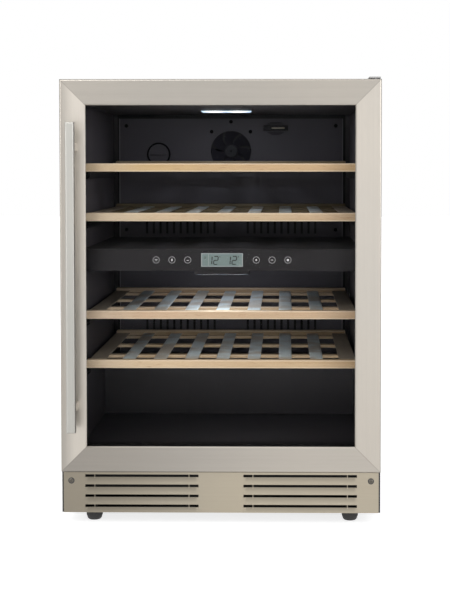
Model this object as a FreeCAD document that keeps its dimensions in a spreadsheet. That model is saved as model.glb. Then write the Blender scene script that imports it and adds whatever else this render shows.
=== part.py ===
"""Built-under two-zone wine cooler: a glass door, four sliding shelves and four levelling feet.

Millimetres. X to the right, Y to the back, Z up. The origin is on the floor, in the middle of the
whole object's footprint. A size called Deep is measured back from the door's front face.
"""
import FreeCAD, Part
import os
import Sketcher

doc = FreeCAD.newDocument("WineCooler")
sheet = doc.addObject("Spreadsheet::Sheet", "Sizes")
sheet_rows = []


class Size:
    """A length that keeps both its number and the expression that ties it to the sheet."""

    def __init__(self, text, value):
        self.text, self.value = text, value

    @staticmethod
    def of(other):
        return other if isinstance(other, Size) else Size(repr(float(other)), float(other))

    def joined(self, sign, other, value):
        return Size(f"({self.text} {sign} {other.text})", value)

    def __add__(self, other):
        other = Size.of(other)
        return self.joined("+", other, self.value + other.value)

    def __sub__(self, other):
        other = Size.of(other)
        return self.joined("-", other, self.value - other.value)

    def __mul__(self, other):
        other = Size.of(other)
        return self.joined("*", other, self.value * other.value)

    def __truediv__(self, other):
        other = Size.of(other)
        return self.joined("/", other, self.value / other.value)

    def __radd__(self, other):
        return Size.of(other) + self

    def __rsub__(self, other):
        return Size.of(other) - self

    def __rmul__(self, other):
        return Size.of(other) * self

    def __neg__(self):
        return Size.of(0) - self


def size(alias, value):
    """A driving dimension: one cell of the sheet, under a plain name."""
    sheet_rows.append(alias)
    row = len(sheet_rows)
    sheet.set(f"A{row}", alias)
    sheet.set(f"B{row}", str(value))
    sheet.setAlias(f"B{row}", alias)
    return Size(f"Sizes.{alias}", float(value))


# ---------------------------------------------------------------- overall
width = size("width", 595)
bodyDepth = size("bodyDepth", 573)
cabinetTop = size("cabinetTop", 834)
footRise = size("footRise", 24)
plinthTop = size("plinthTop", 100)
sheetMetal = size("sheetMetal", 1)
seatGap = size("seatGap", 0.3)          # between parts that move past each other or rest loosely
shaftPlay = size("shaftPlay", 0.05)     # radial, between a shaft and its bore
over = 1                                # how far a cutting tool runs past the face it cuts

halfWidth = width / 2
panelInside = halfWidth - sheetMetal

# ---------------------------------------------------------------- door sizes
doorThick = size("doorThick", 40)
doorWall = size("doorWall", 1.5)
doorGap = size("doorGap", 2)            # above the plinth and below the cabinet's top
frameFace = size("frameFace", 48)
frameRound = size("frameRound", 3)
bevelSize = size("bevelSize", 2)
glassSetback = size("glassSetback", 5)
glassBite = size("glassBite", 10)
glassPlay = size("glassPlay", 0.5)
paneThick = size("paneThick", 4)
paneGap = size("paneGap", 16)
spacerWide = size("spacerWide", 9)
spacerInset = size("spacerInset", 1)
gasketWide = size("gasketWide", 18)
gasketThick = size("gasketThick", 6)
gasketInset = size("gasketInset", 13.5)
hingeInset = size("hingeInset", 10)
hingePin = size("hingePin", 3)
hingeBush = size("hingeBush", 6)
bushLong = size("bushLong", 20)
pinShort = size("pinShort", 4)          # how much the pin is shorter than its bush
hingePlate = size("hingePlate", 3)
hingeReach = size("hingeReach", 12)
hingeSeat = size("hingeSeat", 45)
underPlate = size("underPlate", 1.5)
underLeaf = size("underLeaf", 2)
handleReach = size("handleReach", 40)
handleLong = size("handleLong", 570)
handleWide = size("handleWide", 16.6)
handleThick = size("handleThick", 12)
handleRound = size("handleRound", 3)
handleInset = size("handleInset", 24.7)
postInset = size("postInset", 45)
postSide = size("postSide", 15)

front = -(bodyDepth + handleReach) / 2 + handleReach     # the door's front face
doorBack = front + doorThick
cabinetFront = doorBack + gasketThick + seatGap           # the face that the gasket closes on
doorBottom = plinthTop + doorGap
doorTop = cabinetTop - doorGap
grooveHalf = halfWidth - frameFace + glassBite
grooveLow = doorBottom + frameFace - glassBite
grooveHigh = doorTop - frameFace + glassBite
grooveFront = front + glassSetback
hingeAcross = halfWidth - hingeInset
hingeBack = front + doorThick / 2
handleAcross = -(halfWidth - handleInset)
handleMiddle = (doorBottom + doorTop) / 2
handleFront = front - handleReach

# ---------------------------------------------------------------- insulated cabinet sizes
wallThick = size("wallThick", 33.5)     # from the outer face to the liner's inner face
ceilingThick = size("ceilingThick", 48)
floorThick = size("floorThick", 40)
floorRise = size("floorRise", 5)
backThick = size("backThick", 42)
linerThick = size("linerThick", 2)
wallSpacer = size("wallSpacer", 12)
wallSpacerWide = size("wallSpacerWide", 30)
wallSpacerHigh = size("wallSpacerHigh", 60)
wallSpacerInset = size("wallSpacerInset", 97.5)
wallSpacerDrop = size("wallSpacerDrop", 234)
machineLong = size("machineLong", 160)  # the machine room's depth at the back
machineTop = size("machineTop", 216)
stepThick = size("stepThick", 40)
panThick = size("panThick", 2)
crossbarHigh = size("crossbarHigh", 40)
drainRadius = size("drainRadius", 6)
drainWall = size("drainWall", 1.5)
drainOut = size("drainOut", 8)

backFace = front + bodyDepth - sheetMetal - wallSpacer    # where the foam ends and the back panel starts
roomHalf = halfWidth - wallThick
roomCeiling = cabinetTop - ceilingThick
foamBottom = plinthTop + floorRise
roomFloor = foamBottom + floorThick
roomBack = backFace - backThick
machineFront = backFace - machineLong
stepFront = machineFront - stepThick
stepTop = machineTop + stepThick + linerThick
panTop = footRise + panThick

# ---------------------------------------------------------------- plinth and feet sizes
kickDeep = size("kickDeep", 10)
kickThick = size("kickThick", 2)
kickInset = size("kickInset", 3)
toeReturn = size("toeReturn", 22)
louvreNear = size("louvreNear", 42)
louvreEnd = size("louvreEnd", 40.5)
louvreDrop = size("louvreDrop", 4.55)
louvrePitch = size("louvrePitch", 18.9)
louvreHigh = size("louvreHigh", 10)
louvreSlot = size("louvreSlot", 3.5)
louvreSheet = size("louvreSheet", 1.2)
louvreTilt = size("louvreTilt", 6)
screwInset = size("screwInset", 17.5)
screwDrop = size("screwDrop", 16.3)
screwRadius = size("screwRadius", 2)
screwHead = size("screwHead", 5.8)
screwProud = size("screwProud", 1.6)
footRadius = size("footRadius", 15.5)
footTip = size("footTip", 13)
footTaper = size("footTaper", 3.9)
footInset = size("footInset", 54.5)
footFront = size("footFront", 55)
footBack = size("footBack", 30)
studRadius = size("studRadius", 5)
studLong = size("studLong", 20)
studRoot = size("studRoot", 2)
collarRadius = size("collarRadius", 11)
collarHigh = size("collarHigh", 14)

kickFront = front + kickDeep
kickHalf = halfWidth - kickInset
footAcross = halfWidth - footInset

# ---------------------------------------------------------------- divider, controls and lamps sizes
topSpace = size("topSpace", 109)        # from the ceiling to the first shelf
shelfPitch = size("shelfPitch", 94)
overDivider = size("overDivider", 68.5)
dividerThick = size("dividerThick", 41.5)
underDivider = size("underDivider", 76)
fasciaSetback = size("fasciaSetback", 15.7)
fasciaThick = size("fasciaThick", 3)
fasciaReach = size("fasciaReach", 14)
displayWide = size("displayWide", 79)
displayHigh = size("displayHigh", 25.6)
displaySink = size("displaySink", 0.4)
boardWide = size("boardWide", 300)
boardThick = size("boardThick", 1.6)
boardGap = size("boardGap", 2)
keyRadius = size("keyRadius", 6.5)
keyRing = size("keyRing", 0.9)
keyNear = size("keyNear", 65)
keyPitch = size("keyPitch", 30)
keyProud = size("keyProud", 0.2)
lampWide = size("lampWide", 104)
lampLong = size("lampLong", 30)
lampDrop = size("lampDrop", 5)
lampDropLow = size("lampDropLow", 8)
lampSetback = size("lampSetback", 199.7)
lowLampSetback = size("lowLampSetback", 3)

firstShelf = roomCeiling - topSpace
secondShelf = firstShelf - shelfPitch
dividerHigh = secondShelf - overDivider
dividerLow = dividerHigh - dividerThick
dividerMiddle = (dividerLow + dividerHigh) / 2
thirdShelf = dividerLow - underDivider
shelfTops = [firstShelf, secondShelf, thirdShelf, thirdShelf - shelfPitch]
fasciaFront = cabinetFront + fasciaSetback
dividerFront = fasciaFront + fasciaReach

# ---------------------------------------------------------------- shelf sizes
railClear = size("railClear", 5)        # from a rail's or the fascia's end to the wall
railHigh = size("railHigh", 16)
railThick = size("railThick", 18)
backRailClear = size("backRailClear", 11)
backRailGap = size("backRailGap", 6)
backRailRise = size("backRailRise", 6)
slatWide = size("slatWide", 25)
slatEndGap = size("slatEndGap", 30.5)   # from the last slat to the runner's flange
slatThick = size("slatThick", 1.5)
crossWide = size("crossWide", 22)
crossThick = size("crossThick", 5)
crossInset = size("crossInset", 3)
flangeWide = size("flangeWide", 32)
runnerClear = size("runnerClear", 9)
runnerDrop = size("runnerDrop", 28)
runnerFoot = size("runnerFoot", 4.5)
runnerFootThick = size("runnerFootThick", 3)
slideSpare = size("slideSpare", 2)
slideWall = size("slideWall", 1.5)
slideClear = size("slideClear", 7.5)

railFront = fasciaFront
railHalf = roomHalf - railClear
runnerWall = roomHalf - runnerClear
runnerTip = roomHalf - runnerFoot
flangeNear = runnerWall - flangeWide
slatPitch = (flangeNear - slatEndGap - slatWide / 2) / 3

# ---------------------------------------------------------------- air panel, fan and sensor sizes
panelClear = size("panelClear", 16)
panelStand = size("panelStand", 24)     # how far the air panels stand off the back wall
panelThick = size("panelThick", 2)
panelDrop = size("panelDrop", 9)
fanRadius = size("fanRadius", 45)
fanHub = size("fanHub", 15.5)
fanDeep = size("fanDeep", 11)
fanClear = size("fanClear", 1)
fanShaft = size("fanShaft", 1.5)
fanHousing = size("fanHousing", 104)
fanHousingDeep = size("fanHousingDeep", 20)
fanBridge = size("fanBridge", 10)
fanBridgeThick = size("fanBridgeThick", 3)
fanMotorDeep = size("fanMotorDeep", 5)
fanBladeThick = size("fanBladeThick", 1.6)
fanDrop = size("fanDrop", 72)
lowerFanDrop = size("lowerFanDrop", 63)
fanScrewOut = size("fanScrewOut", 43)
slotWide = size("slotWide", 5)
slotPitch = size("slotPitch", 15)
slotNear = size("slotNear", 37)
slotHigh = size("slotHigh", 36)
slotRise = size("slotRise", 7.5)
lowerSlotRise = size("lowerSlotRise", 42)
panelScrewHead = size("panelScrewHead", 4)
panelScrewThick = size("panelScrewThick", 1.5)
panelScrewInset = size("panelScrewInset", 16)
filterAcross = size("filterAcross", 160)
filterDrop = size("filterDrop", 79)
filterRadius = size("filterRadius", 26)
filterBore = size("filterBore", 22)
filterFace = size("filterFace", 5)
filterGrip = size("filterGrip", 4)
filterGripLong = size("filterGripLong", 36)
filterPlugLong = size("filterPlugLong", 16)
probeNear = size("probeNear", 72)
probeClipWide = size("probeClipWide", 40)
probeClipHigh = size("probeClipHigh", 12)
probeClipDeep = size("probeClipDeep", 8)
probeBulb = size("probeBulb", 3.5)
probeBulbLong = size("probeBulbLong", 15)
probeDrop = size("probeDrop", 21)
evaporatorInset = size("evaporatorInset", 48)
evaporatorHigh = size("evaporatorHigh", 76)
evaporatorThick = size("evaporatorThick", 2)
evaporatorStand = size("evaporatorStand", 12)
evaporatorTube = size("evaporatorTube", 3)
evaporatorRise = size("evaporatorRise", 17)
evaporatorPitch = size("evaporatorPitch", 15)

panelHalf = roomHalf - panelClear
panelFront = roomBack - panelStand
upperPanelTop = roomCeiling - panelDrop
fanHeight = upperPanelTop - fanDrop
lowerFanHeight = dividerLow - lowerFanDrop
filterHeight = upperPanelTop - filterDrop
upperSlotLow = dividerHigh + slotRise
lowerSlotLow = stepTop + lowerSlotRise
railBack = panelFront - backRailGap - railThick           # the back rail's front face

# ---------------------------------------------------------------- machine room sizes
boxSide = size("boxSide", 11.5)
boxWide = size("boxWide", 80)
boxHigh = size("boxHigh", 90)
boxFront = size("boxFront", 8)
boxBack = size("boxBack", 15)
compressorGap = size("compressorGap", 13)
compressorRadius = size("compressorRadius", 58)
compressorTop = size("compressorTop", 32)
compressorHigh = size("compressorHigh", 120)
compressorDome = size("compressorDome", 26)
compressorBase = size("compressorBase", 144)
compressorBaseDeep = size("compressorBaseDeep", 90)
compressorBaseThick = size("compressorBaseThick", 3)
compressorSet = size("compressorSet", 82)
mountHigh = size("mountHigh", 14)
mountRadius = size("mountRadius", 10)
mountInset = size("mountInset", 11)
trayWide = size("trayWide", 120)
trayHigh = size("trayHigh", 18)
trayGap = size("trayGap", 10)
trayWall = size("trayWall", 1.5)
trayInset = size("trayInset", 16)
trayPost = size("trayPost", 12)
condenserWide = size("condenserWide", 96)
condenserHigh = size("condenserHigh", 120)
condenserLong = size("condenserLong", 120)
condenserSide = size("condenserSide", 33.5)
condenserSet = size("condenserSet", 18)
condenserFin = size("condenserFin", 0.8)
condenserTube = size("condenserTube", 4)
condenserTubePitch = size("condenserTubePitch", 28)
condenserStand = size("condenserStand", 8)
condenserFanGap = size("condenserFanGap", 8)
grilleNear = size("grilleNear", 30)
grilleEnd = size("grilleEnd", 30)
grilleRise = size("grilleRise", 36)
grilleSlot = size("grilleSlot", 4)
grillePitch = size("grillePitch", 14)
glandRadius = size("glandRadius", 3.7)
glandWall = size("glandWall", 3)
glandRim = size("glandRim", 2)
glandLong = size("glandLong", 22)
glandInset = size("glandInset", 66.5)
glandRise = size("glandRise", 42)
pipeRadius = size("pipeRadius", 3)

boxFar = panelInside - boxSide
compressorAcross = boxFar - boxWide - compressorGap - compressorBase / 2
compressorBack = backFace - compressorSet
compressorLow = panTop + mountHigh
drainAcross = compressorAcross
drainBack = (panelFront + roomBack) / 2
condenserAcross = -(panelInside - condenserSide - condenserWide / 2)
condenserFront = machineFront + condenserSet
condenserLow = footRise + studLong
glandAcross = panelInside - glandInset
glandHeight = footRise + glandRise

doc.recompute()


# ---------------------------------------------------------------- ways of making a piece
def bind(thing, name, value):
    """Tie one property to the sheet."""
    thing.setExpression(name, Size.of(value).text)


def block(label, low, high):
    """A plain rectangular solid between two corners."""
    thing = doc.addObject("Part::Box", label)
    thing.Label = label
    for name, axis, a, b in zip(("Length", "Width", "Height"), "xyz", low, high):
        bind(thing, name, Size.of(b) - a)
        bind(thing, f".Placement.Base.{axis}", a)
    return thing


TURN = {
    "+z": FreeCAD.Rotation(),
    "+y": FreeCAD.Rotation(FreeCAD.Vector(1, 0, 0), -90),
    "+x": FreeCAD.Rotation(FreeCAD.Vector(0, 1, 0), 90),
}


def rod(label, start, radius, length, along="+z", tip=None):
    """A cylinder from a point along an axis, or a cone when its far end has another radius."""
    thing = doc.addObject("Part::Cylinder" if tip is None else "Part::Cone", label)
    thing.Label = label
    thing.Placement = FreeCAD.Placement(FreeCAD.Vector(), TURN[along])
    if tip is None:
        bind(thing, "Radius", radius)
    else:
        bind(thing, "Radius1", radius)
        bind(thing, "Radius2", tip)
    bind(thing, "Height", length)
    for axis, value in zip("xyz", start):
        bind(thing, f".Placement.Base.{axis}", value)
    return thing


def fuse(label, pieces):
    """One solid from pieces that run into each other."""
    thing = doc.addObject("Part::MultiFuse", label)
    thing.Label = label
    thing.Shapes = pieces
    thing.Refine = True
    return thing


def group(label, pieces):
    """Separate solids of one kind under one name."""
    thing = doc.addObject("Part::Compound", label)
    thing.Label = label
    thing.Links = pieces
    return thing


def cut(label, base, tools):
    """The base with the tools taken away."""
    thing = doc.addObject("Part::Cut", label)
    thing.Label = label
    thing.Base = base
    thing.Tool = tools[0] if len(tools) == 1 else group(label + "_tools", tools)
    return thing


def ring(label, start, outer, inner, length, along="+z"):
    """A tube."""
    back = [-over if axis == along[1] else 0 for axis in "xyz"]
    bore = rod(label + "_bore", [p + b for p, b in zip(start, back)], inner, length + 2 * over, along)
    return cut(label, rod(label + "_outer", start, outer, length, along), [bore])


def frame_ring(label, half, ends, bar, start, end):
    """A rectangular ring standing up, with one width all round."""
    outer = block(label + "_outer", (-half, start, ends[0]), (half, end, ends[1]))
    inner = block(label + "_inner", (-(half - bar), start - over, ends[0] + bar),
                  (half - bar, end + over, ends[1] - bar))
    return cut(label, outer, [inner])


def outline(body, name, plane, points):
    """A closed sketch through points that are all tied to the sheet."""
    sketch = body.newObject("Sketcher::SketchObject", name)
    base = next(o for o in body.Origin.OriginFeatures if o.Role == f"{plane}_Plane")
    sketch.AttachmentSupport = [(base, "")]
    sketch.MapMode = "FlatFace"
    spots = [FreeCAD.Vector(Size.of(u).value, Size.of(v).value, 0) for u, v in points]
    for n, spot in enumerate(spots):
        sketch.addGeometry(Part.LineSegment(spot, spots[(n + 1) % len(spots)]), False)
    for n in range(len(spots)):
        sketch.addConstraint(Sketcher.Constraint("Coincident", n, 2, (n + 1) % len(spots), 1))
    for n, corner in enumerate(points):
        for axis, value in zip("XY", corner):
            index = sketch.addConstraint(Sketcher.Constraint(f"Distance{axis}", n, 1, Size.of(value).value))
            sketch.renameConstraint(index, f"{axis}{n}")
            bind(sketch, f"Constraints.{axis}{n}", value)
    return sketch


def plate(label, plane, points, start, length):
    """A body padded from an outline. On XZ it grows towards the back, on YZ to the right."""
    body = doc.addObject("PartDesign::Body", label)
    body.Label = label
    pad = body.newObject("PartDesign::Pad", label + "_pad")
    pad.Profile = outline(body, label + "_outline", plane, points)
    body.Tip = pad
    pad.Reversed = plane == "XZ"
    bind(pad, "Length", length)
    bind(body, f".Placement.Base.{'y' if plane == 'XZ' else 'x'}", start)
    return body


def soften(body, name, kind, amount, chosen):
    """Round or bevel the edges of a body's last feature that the test picks."""
    doc.recompute()
    last = body.Tip
    edges = [f"Edge{n}" for n, edge in enumerate(last.Shape.Edges, 1) if chosen(edge)]
    feature = body.newObject(f"PartDesign::{kind}", name)
    feature.Base = (last, edges)
    bind(feature, "Radius" if kind == "Fillet" else "Size", amount)


SIDES = ((-1, "left"), (1, "right"))


def spread(side, near, far):
    """The low and high X of a stretch that is mirrored about the middle."""
    return (near, far) if side > 0 else (-far, -near)


# ---------------------------------------------------------------- outer cabinet
def side_panel(side, name):
    """A side sheet, with its toe in front of the plinth turned in for the kick plate's screws."""
    toe = kickFront + kickThick
    skinTop = cabinetTop - sheetMetal
    low, high = spread(side, panelInside, halfWidth)
    skin = plate(f"side_skin_{name}", "YZ",
                 [(toe, footRise), (backFace, footRise), (backFace, skinTop),
                  (cabinetFront, skinTop), (cabinetFront, plinthTop), (toe, plinthTop)], low, high - low)
    low, high = spread(side, panelInside - toeReturn, halfWidth)
    turned = block(f"side_toe_{name}", (low, toe, footRise), (high, toe + sheetMetal, plinthTop))
    fuse(f"side_panel_{name}", [skin, turned])


def wall_spacer(side, name):
    """A plastic block that keeps the back off the wall."""
    far = halfWidth - wallSpacerInset + wallSpacerWide
    low, high = spread(side, far - wallSpacerWide, far)
    top = cabinetTop - wallSpacerDrop + wallSpacerHigh
    return block(f"wall_spacer_{name}", (low, backFace + sheetMetal, top - wallSpacerHigh),
                 (high, backFace + sheetMetal + wallSpacer, top))


def base_pan():
    """The floor sheet with its front apron and a threaded collar over each foot."""
    toe = kickFront + kickThick + sheetMetal
    apron = panelInside - toeReturn
    pieces = [block("pan_floor", (-panelInside, cabinetFront, footRise), (panelInside, backFace, panTop)),
              block("pan_apron", (-apron, toe, footRise), (apron, cabinetFront, panTop))]
    holes = []
    for label, across, back in foot_spots():
        pieces.append(rod(f"pan_collar_{label}", (across, back, panTop), collarRadius, collarHigh))
        holes.append(rod(f"pan_hole_{label}", (across, back, footRise - over),
                         studRadius + shaftPlay, collarHigh + panThick + 2 * over))
    cut("base_pan", fuse("pan_blank", pieces), holes)


def foot_spots():
    """Each levelling foot's name, X and Y."""
    return [(f"{where}_{name}", footAcross * side, back)
            for where, back in (("front", front + footFront), ("back", backFace - footBack))
            for side, name in SIDES]


def foot(label, across, back):
    """A tapered foot disc with its stud in the base pan's collar."""
    fuse(f"foot_{label}", [
        rod(f"foot_tip_{label}", (across, back, 0), footTip, footTaper, tip=footRadius),
        rod(f"foot_disc_{label}", (across, back, footTaper), footRadius, footRise - footTaper - seatGap),
        rod(f"foot_stud_{label}", (across, back, footRise - studRoot), studRadius, studLong)])


for side, name in SIDES:
    side_panel(side, name)
block("top_panel", (-halfWidth, cabinetFront, cabinetTop - sheetMetal),
      (halfWidth, backFace + sheetMetal, cabinetTop))
block("back_panel", (-halfWidth, backFace, machineTop),
      (halfWidth, backFace + sheetMetal, cabinetTop - sheetMetal))
group("wall_spacers", [wall_spacer(side, name) for side, name in SIDES])
base_pan()
block("front_crossbar", (-panelInside, cabinetFront, foamBottom - crossbarHigh),
      (panelInside, cabinetFront + linerThick, foamBottom))
for spot in foot_spots():
    foot(*spot)


# ---------------------------------------------------------------- liner and foam
def room(tag, mouth, grow):
    """The inside of the cabinet, grown by a wall: over the step, and in front of it."""
    half = roomHalf + grow
    return [block(f"room_over_step_{tag}", (-half, mouth, stepTop - grow),
                  (half, roomBack + grow, roomCeiling + grow)),
            block(f"room_before_step_{tag}", (-half, mouth, roomFloor - grow),
                  (half, stepFront + grow, stepTop))]


def drain_hole(tag):
    """The way through the step for the drain tube."""
    return rod(f"drain_hole_{tag}", (drainAcross, drainBack, machineTop - over), drainRadius,
               stepTop - machineTop + 2 * over)


flange = block("liner_flange", (-panelInside, cabinetFront, foamBottom),
               (panelInside, cabinetFront + linerThick, cabinetTop - sheetMetal))
cut("inner_liner", fuse("liner_shell", room("shell", cabinetFront, linerThick) + [flange]),
    room("liner", cabinetFront - over, Size.of(0)) + [drain_hole("liner")])
foam_blank = block("foam_blank", (-panelInside, cabinetFront + linerThick, foamBottom),
                   (panelInside, backFace, cabinetTop - sheetMetal))
machine_room = block("machine_room", (-panelInside, machineFront, foamBottom - over),
                     (panelInside, backFace + over, machineTop))
cut("foam_insulation", foam_blank,
    room("foam", cabinetFront, linerThick) + [machine_room, drain_hole("foam")])
ring("drain_tube", (drainAcross, drainBack, machineTop - drainOut), drainRadius, drainRadius - drainWall,
     stepTop - machineTop + drainOut - linerThick / 2)


# ---------------------------------------------------------------- plinth
def kick_plate():
    """A sheet with two fields of pressed louvres: a slot over a lip that slants inwards."""
    windows, lips = [], []
    for side, name in SIDES:
        low, high = spread(side, louvreNear, kickHalf - louvreEnd)
        for n in range(4):
            top = plinthTop - louvreDrop - louvrePitch * n
            lip_foot = top - louvreSlot - louvreHigh
            windows.append(block(f"kick_window_{name}_{n}", (low, kickFront - over, lip_foot),
                                 (high, kickFront + kickThick + over, top)))
            lips.append(plate(f"kick_lip_{name}_{n}", "YZ", [
                (kickFront, lip_foot - louvreSheet), (kickFront + louvreSheet, lip_foot - louvreSheet),
                (kickFront + louvreTilt + louvreSheet, lip_foot + louvreHigh),
                (kickFront + louvreTilt, lip_foot + louvreHigh), (kickFront, lip_foot)],
                low - over, high - low + 2 * over))
        windows.append(rod(f"kick_hole_{name}", (screwAcross * side, kickFront - over, screwHeight),
                           screwRadius, kickThick + 2 * over, "+y"))
    blank = block("kick_blank", (-kickHalf, kickFront, footRise),
                  (kickHalf, kickFront + kickThick, plinthTop))
    fuse("kick_plate", [cut("kick_open", blank, windows)] + lips)


screwAcross = halfWidth - screwInset
screwHeight = plinthTop - screwDrop
kick_plate()
kick_screws = [rod(f"kick_screw_{name}", (screwAcross * side, kickFront - screwProud, screwHeight),
                   screwHead, screwProud, "+y") for side, name in SIDES]


# ---------------------------------------------------------------- door
def near(value, *marks):
    """Whether a coordinate lies on one of the marked planes."""
    return any(abs(value - mark.value) < 0.5 for mark in marks)


def frame_bar(name, corners):
    """One mitred bar of the door frame, rounded on its outer front edge and bevelled at the glass."""
    bar = plate(f"{name}_bar", "XZ", corners, front, doorThick)

    def on_front(edge):
        # the body's own Y starts at its front face, and the mitres are the short slanting edges
        spot = edge.CenterOfMass
        return spot.y < 0.5 and edge.Length > (frameFace * 2).value, spot

    def outer(edge):
        found, spot = on_front(edge)
        return found and (near(spot.x, -halfWidth, halfWidth) or near(spot.z, doorBottom, doorTop))

    def inner(edge):
        found, spot = on_front(edge)
        return found and (near(spot.x, inLeft, inRight) or near(spot.z, inLow, inHigh))

    soften(bar, f"{name}_round", "Fillet", frameRound, outer)
    soften(bar, f"{name}_bevel", "Chamfer", bevelSize, inner)
    return bar


def door_member(name, corners, bush_ends):
    """A bar made hollow, with the rebate its glass is set in from behind and the hinge bushes' seats."""
    groove = block(f"{name}_rebate", (-grooveHalf, grooveFront, grooveLow),
                   (grooveHalf, doorBack + over, grooveHigh))
    hollow = frame_ring(f"{name}_hollow", halfWidth - doorWall, (doorBottom + doorWall, doorTop - doorWall),
                        halfWidth - grooveHalf - doorWall * 2, front + doorWall, doorBack - doorWall)
    seats = [rod(f"{name}_bush_seat_{end}", (hingeAcross, hingeBack, bushLow[end]), hingeBush, bushLong)
             for end in bush_ends]
    cut(name, frame_bar(name, corners), [groove, hollow] + seats)


bushLow = {"top": doorTop - bushLong, "bottom": doorBottom}
inLeft, inRight = -(halfWidth - frameFace), halfWidth - frameFace
inLow, inHigh = doorBottom + frameFace, doorTop - frameFace
door_member("door_stile_left", [(-halfWidth, doorBottom), (inLeft, inLow), (inLeft, inHigh),
                                (-halfWidth, doorTop)], [])
door_member("door_stile_right", [(halfWidth, doorBottom), (halfWidth, doorTop), (inRight, inHigh),
                                 (inRight, inLow)], ["top", "bottom"])
door_member("door_rail_top", [(-halfWidth, doorTop), (inLeft, inHigh), (inRight, inHigh),
                              (halfWidth, doorTop)], ["top"])
door_member("door_rail_bottom", [(-halfWidth, doorBottom), (halfWidth, doorBottom), (inRight, inLow),
                                 (inLeft, inLow)], ["bottom"])
group("hinge_bushes", [ring(f"hinge_bush_{end}", (hingeAcross, hingeBack, low), hingeBush,
                            hingePin + shaftPlay, bushLong) for end, low in bushLow.items()])

paneHalf, paneLow, paneHigh = grooveHalf - glassPlay, grooveLow + glassPlay, grooveHigh - glassPlay
group("glass_panes", [
    block(f"glass_pane_{n}", (-paneHalf, start, paneLow), (paneHalf, start + paneThick, paneHigh))
    for n, start in enumerate((grooveFront, grooveFront + paneThick + paneGap))])
frame_ring("glass_spacer", paneHalf - spacerInset, (paneLow + spacerInset, paneHigh - spacerInset),
           spacerWide, grooveFront + paneThick, grooveFront + paneThick + paneGap)
frame_ring("door_gasket", halfWidth - gasketInset, (doorBottom + gasketInset, doorTop - gasketInset),
           gasketWide, doorBack, doorBack + gasketThick)

# the hinge plates hold a pin each, one down into the door's top and one up into its bottom
plateNear, plateFront = hingeAcross - hingeReach, hingeBack - hingeReach / 2
plateFar = panelInside - shaftPlay
underTop = doorBottom - seatGap
hinge_top = fuse("hinge_bracket_top", [
    block("hinge_plate_top", (plateNear, plateFront, cabinetTop),
          (plateFar, cabinetFront + hingeSeat, cabinetTop + hingePlate)),
    rod("hinge_pin_top", (hingeAcross, hingeBack, bushLow["top"] + pinShort), hingePin,
        bushLong - pinShort + doorGap + hingePlate)])
hinge_bottom = fuse("hinge_bracket_bottom", [
    block("hinge_plate_bottom", (plateNear, plateFront, underTop - underPlate),
          (plateFar, cabinetFront, underTop)),
    block("hinge_leaf_bottom", (plateNear, cabinetFront - underLeaf, foamBottom - crossbarHigh),
          (plateFar, cabinetFront, underTop)),
    rod("hinge_pin_bottom", (hingeAcross, hingeBack, underTop - underPlate), hingePin,
        bushLong - pinShort + seatGap + underPlate)])
group("hinge_brackets", [hinge_top, hinge_bottom])

barHalf, barLow, barHigh = handleWide / 2, handleMiddle - handleLong / 2, handleMiddle + handleLong / 2
handle_bar = plate("handle_bar", "XZ", [
    (handleAcross - barHalf, barLow), (handleAcross + barHalf, barLow),
    (handleAcross + barHalf, barHigh), (handleAcross - barHalf, barHigh)], handleFront, handleThick)
soften(handle_bar, "handle_round", "Fillet", handleRound, lambda edge: edge.CenterOfMass.y < 0.5)
postHalf = postSide / 2
group("handle_posts", [
    block(f"handle_post_{name}", (handleAcross - postHalf, handleFront + handleThick, spot - postHalf),
          (handleAcross + postHalf, front, spot + postHalf))
    for name, spot in (("low", barLow + postInset), ("high", barHigh - postInset))])


# ---------------------------------------------------------------- shelves
def slide_rail(n, top, side, name):
    """A channel on the liner's wall that the shelf's runner foot slides in."""
    low_edge = top - runnerDrop - seatGap
    high_edge = top - runnerDrop + runnerFootThick + seatGap
    start, end = railFront + railThick - slideSpare, railBack + railThick / 2
    low, high = spread(side, roomHalf - slideClear, roomHalf)
    hollow_low, hollow_high = spread(side, roomHalf - slideClear - over, runnerTip + seatGap)
    blank = block(f"slide_blank_{n}_{name}", (low, start, low_edge - slideWall),
                  (high, end, high_edge + slideWall))
    hollow = block(f"slide_hollow_{n}_{name}", (hollow_low, start - over, low_edge),
                   (hollow_high, end + over, high_edge))
    return cut(f"slide_rail_{n}_{name}", blank, [hollow])


def shelf_runner(n, top, side, name):
    """A folded strip: a flange level with the slats, a web down the side and a foot turned out."""
    start, bottom = railFront + railThick, top - runnerDrop
    strips = (("flange", flangeNear, runnerWall, top - slatThick, top),
              ("web", runnerWall - slatThick, runnerWall, bottom, top),
              ("foot", runnerWall - slatThick, runnerTip, bottom, bottom + runnerFootThick))
    folds = []
    for fold, inner, outer, low_edge, high_edge in strips:
        low, high = spread(side, inner, outer)
        folds.append(block(f"shelf_{n}_{fold}_{name}", (low, start, low_edge), (high, railBack, high_edge)))
    return fuse(f"shelf_{n}_runner_{name}", folds)


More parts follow.
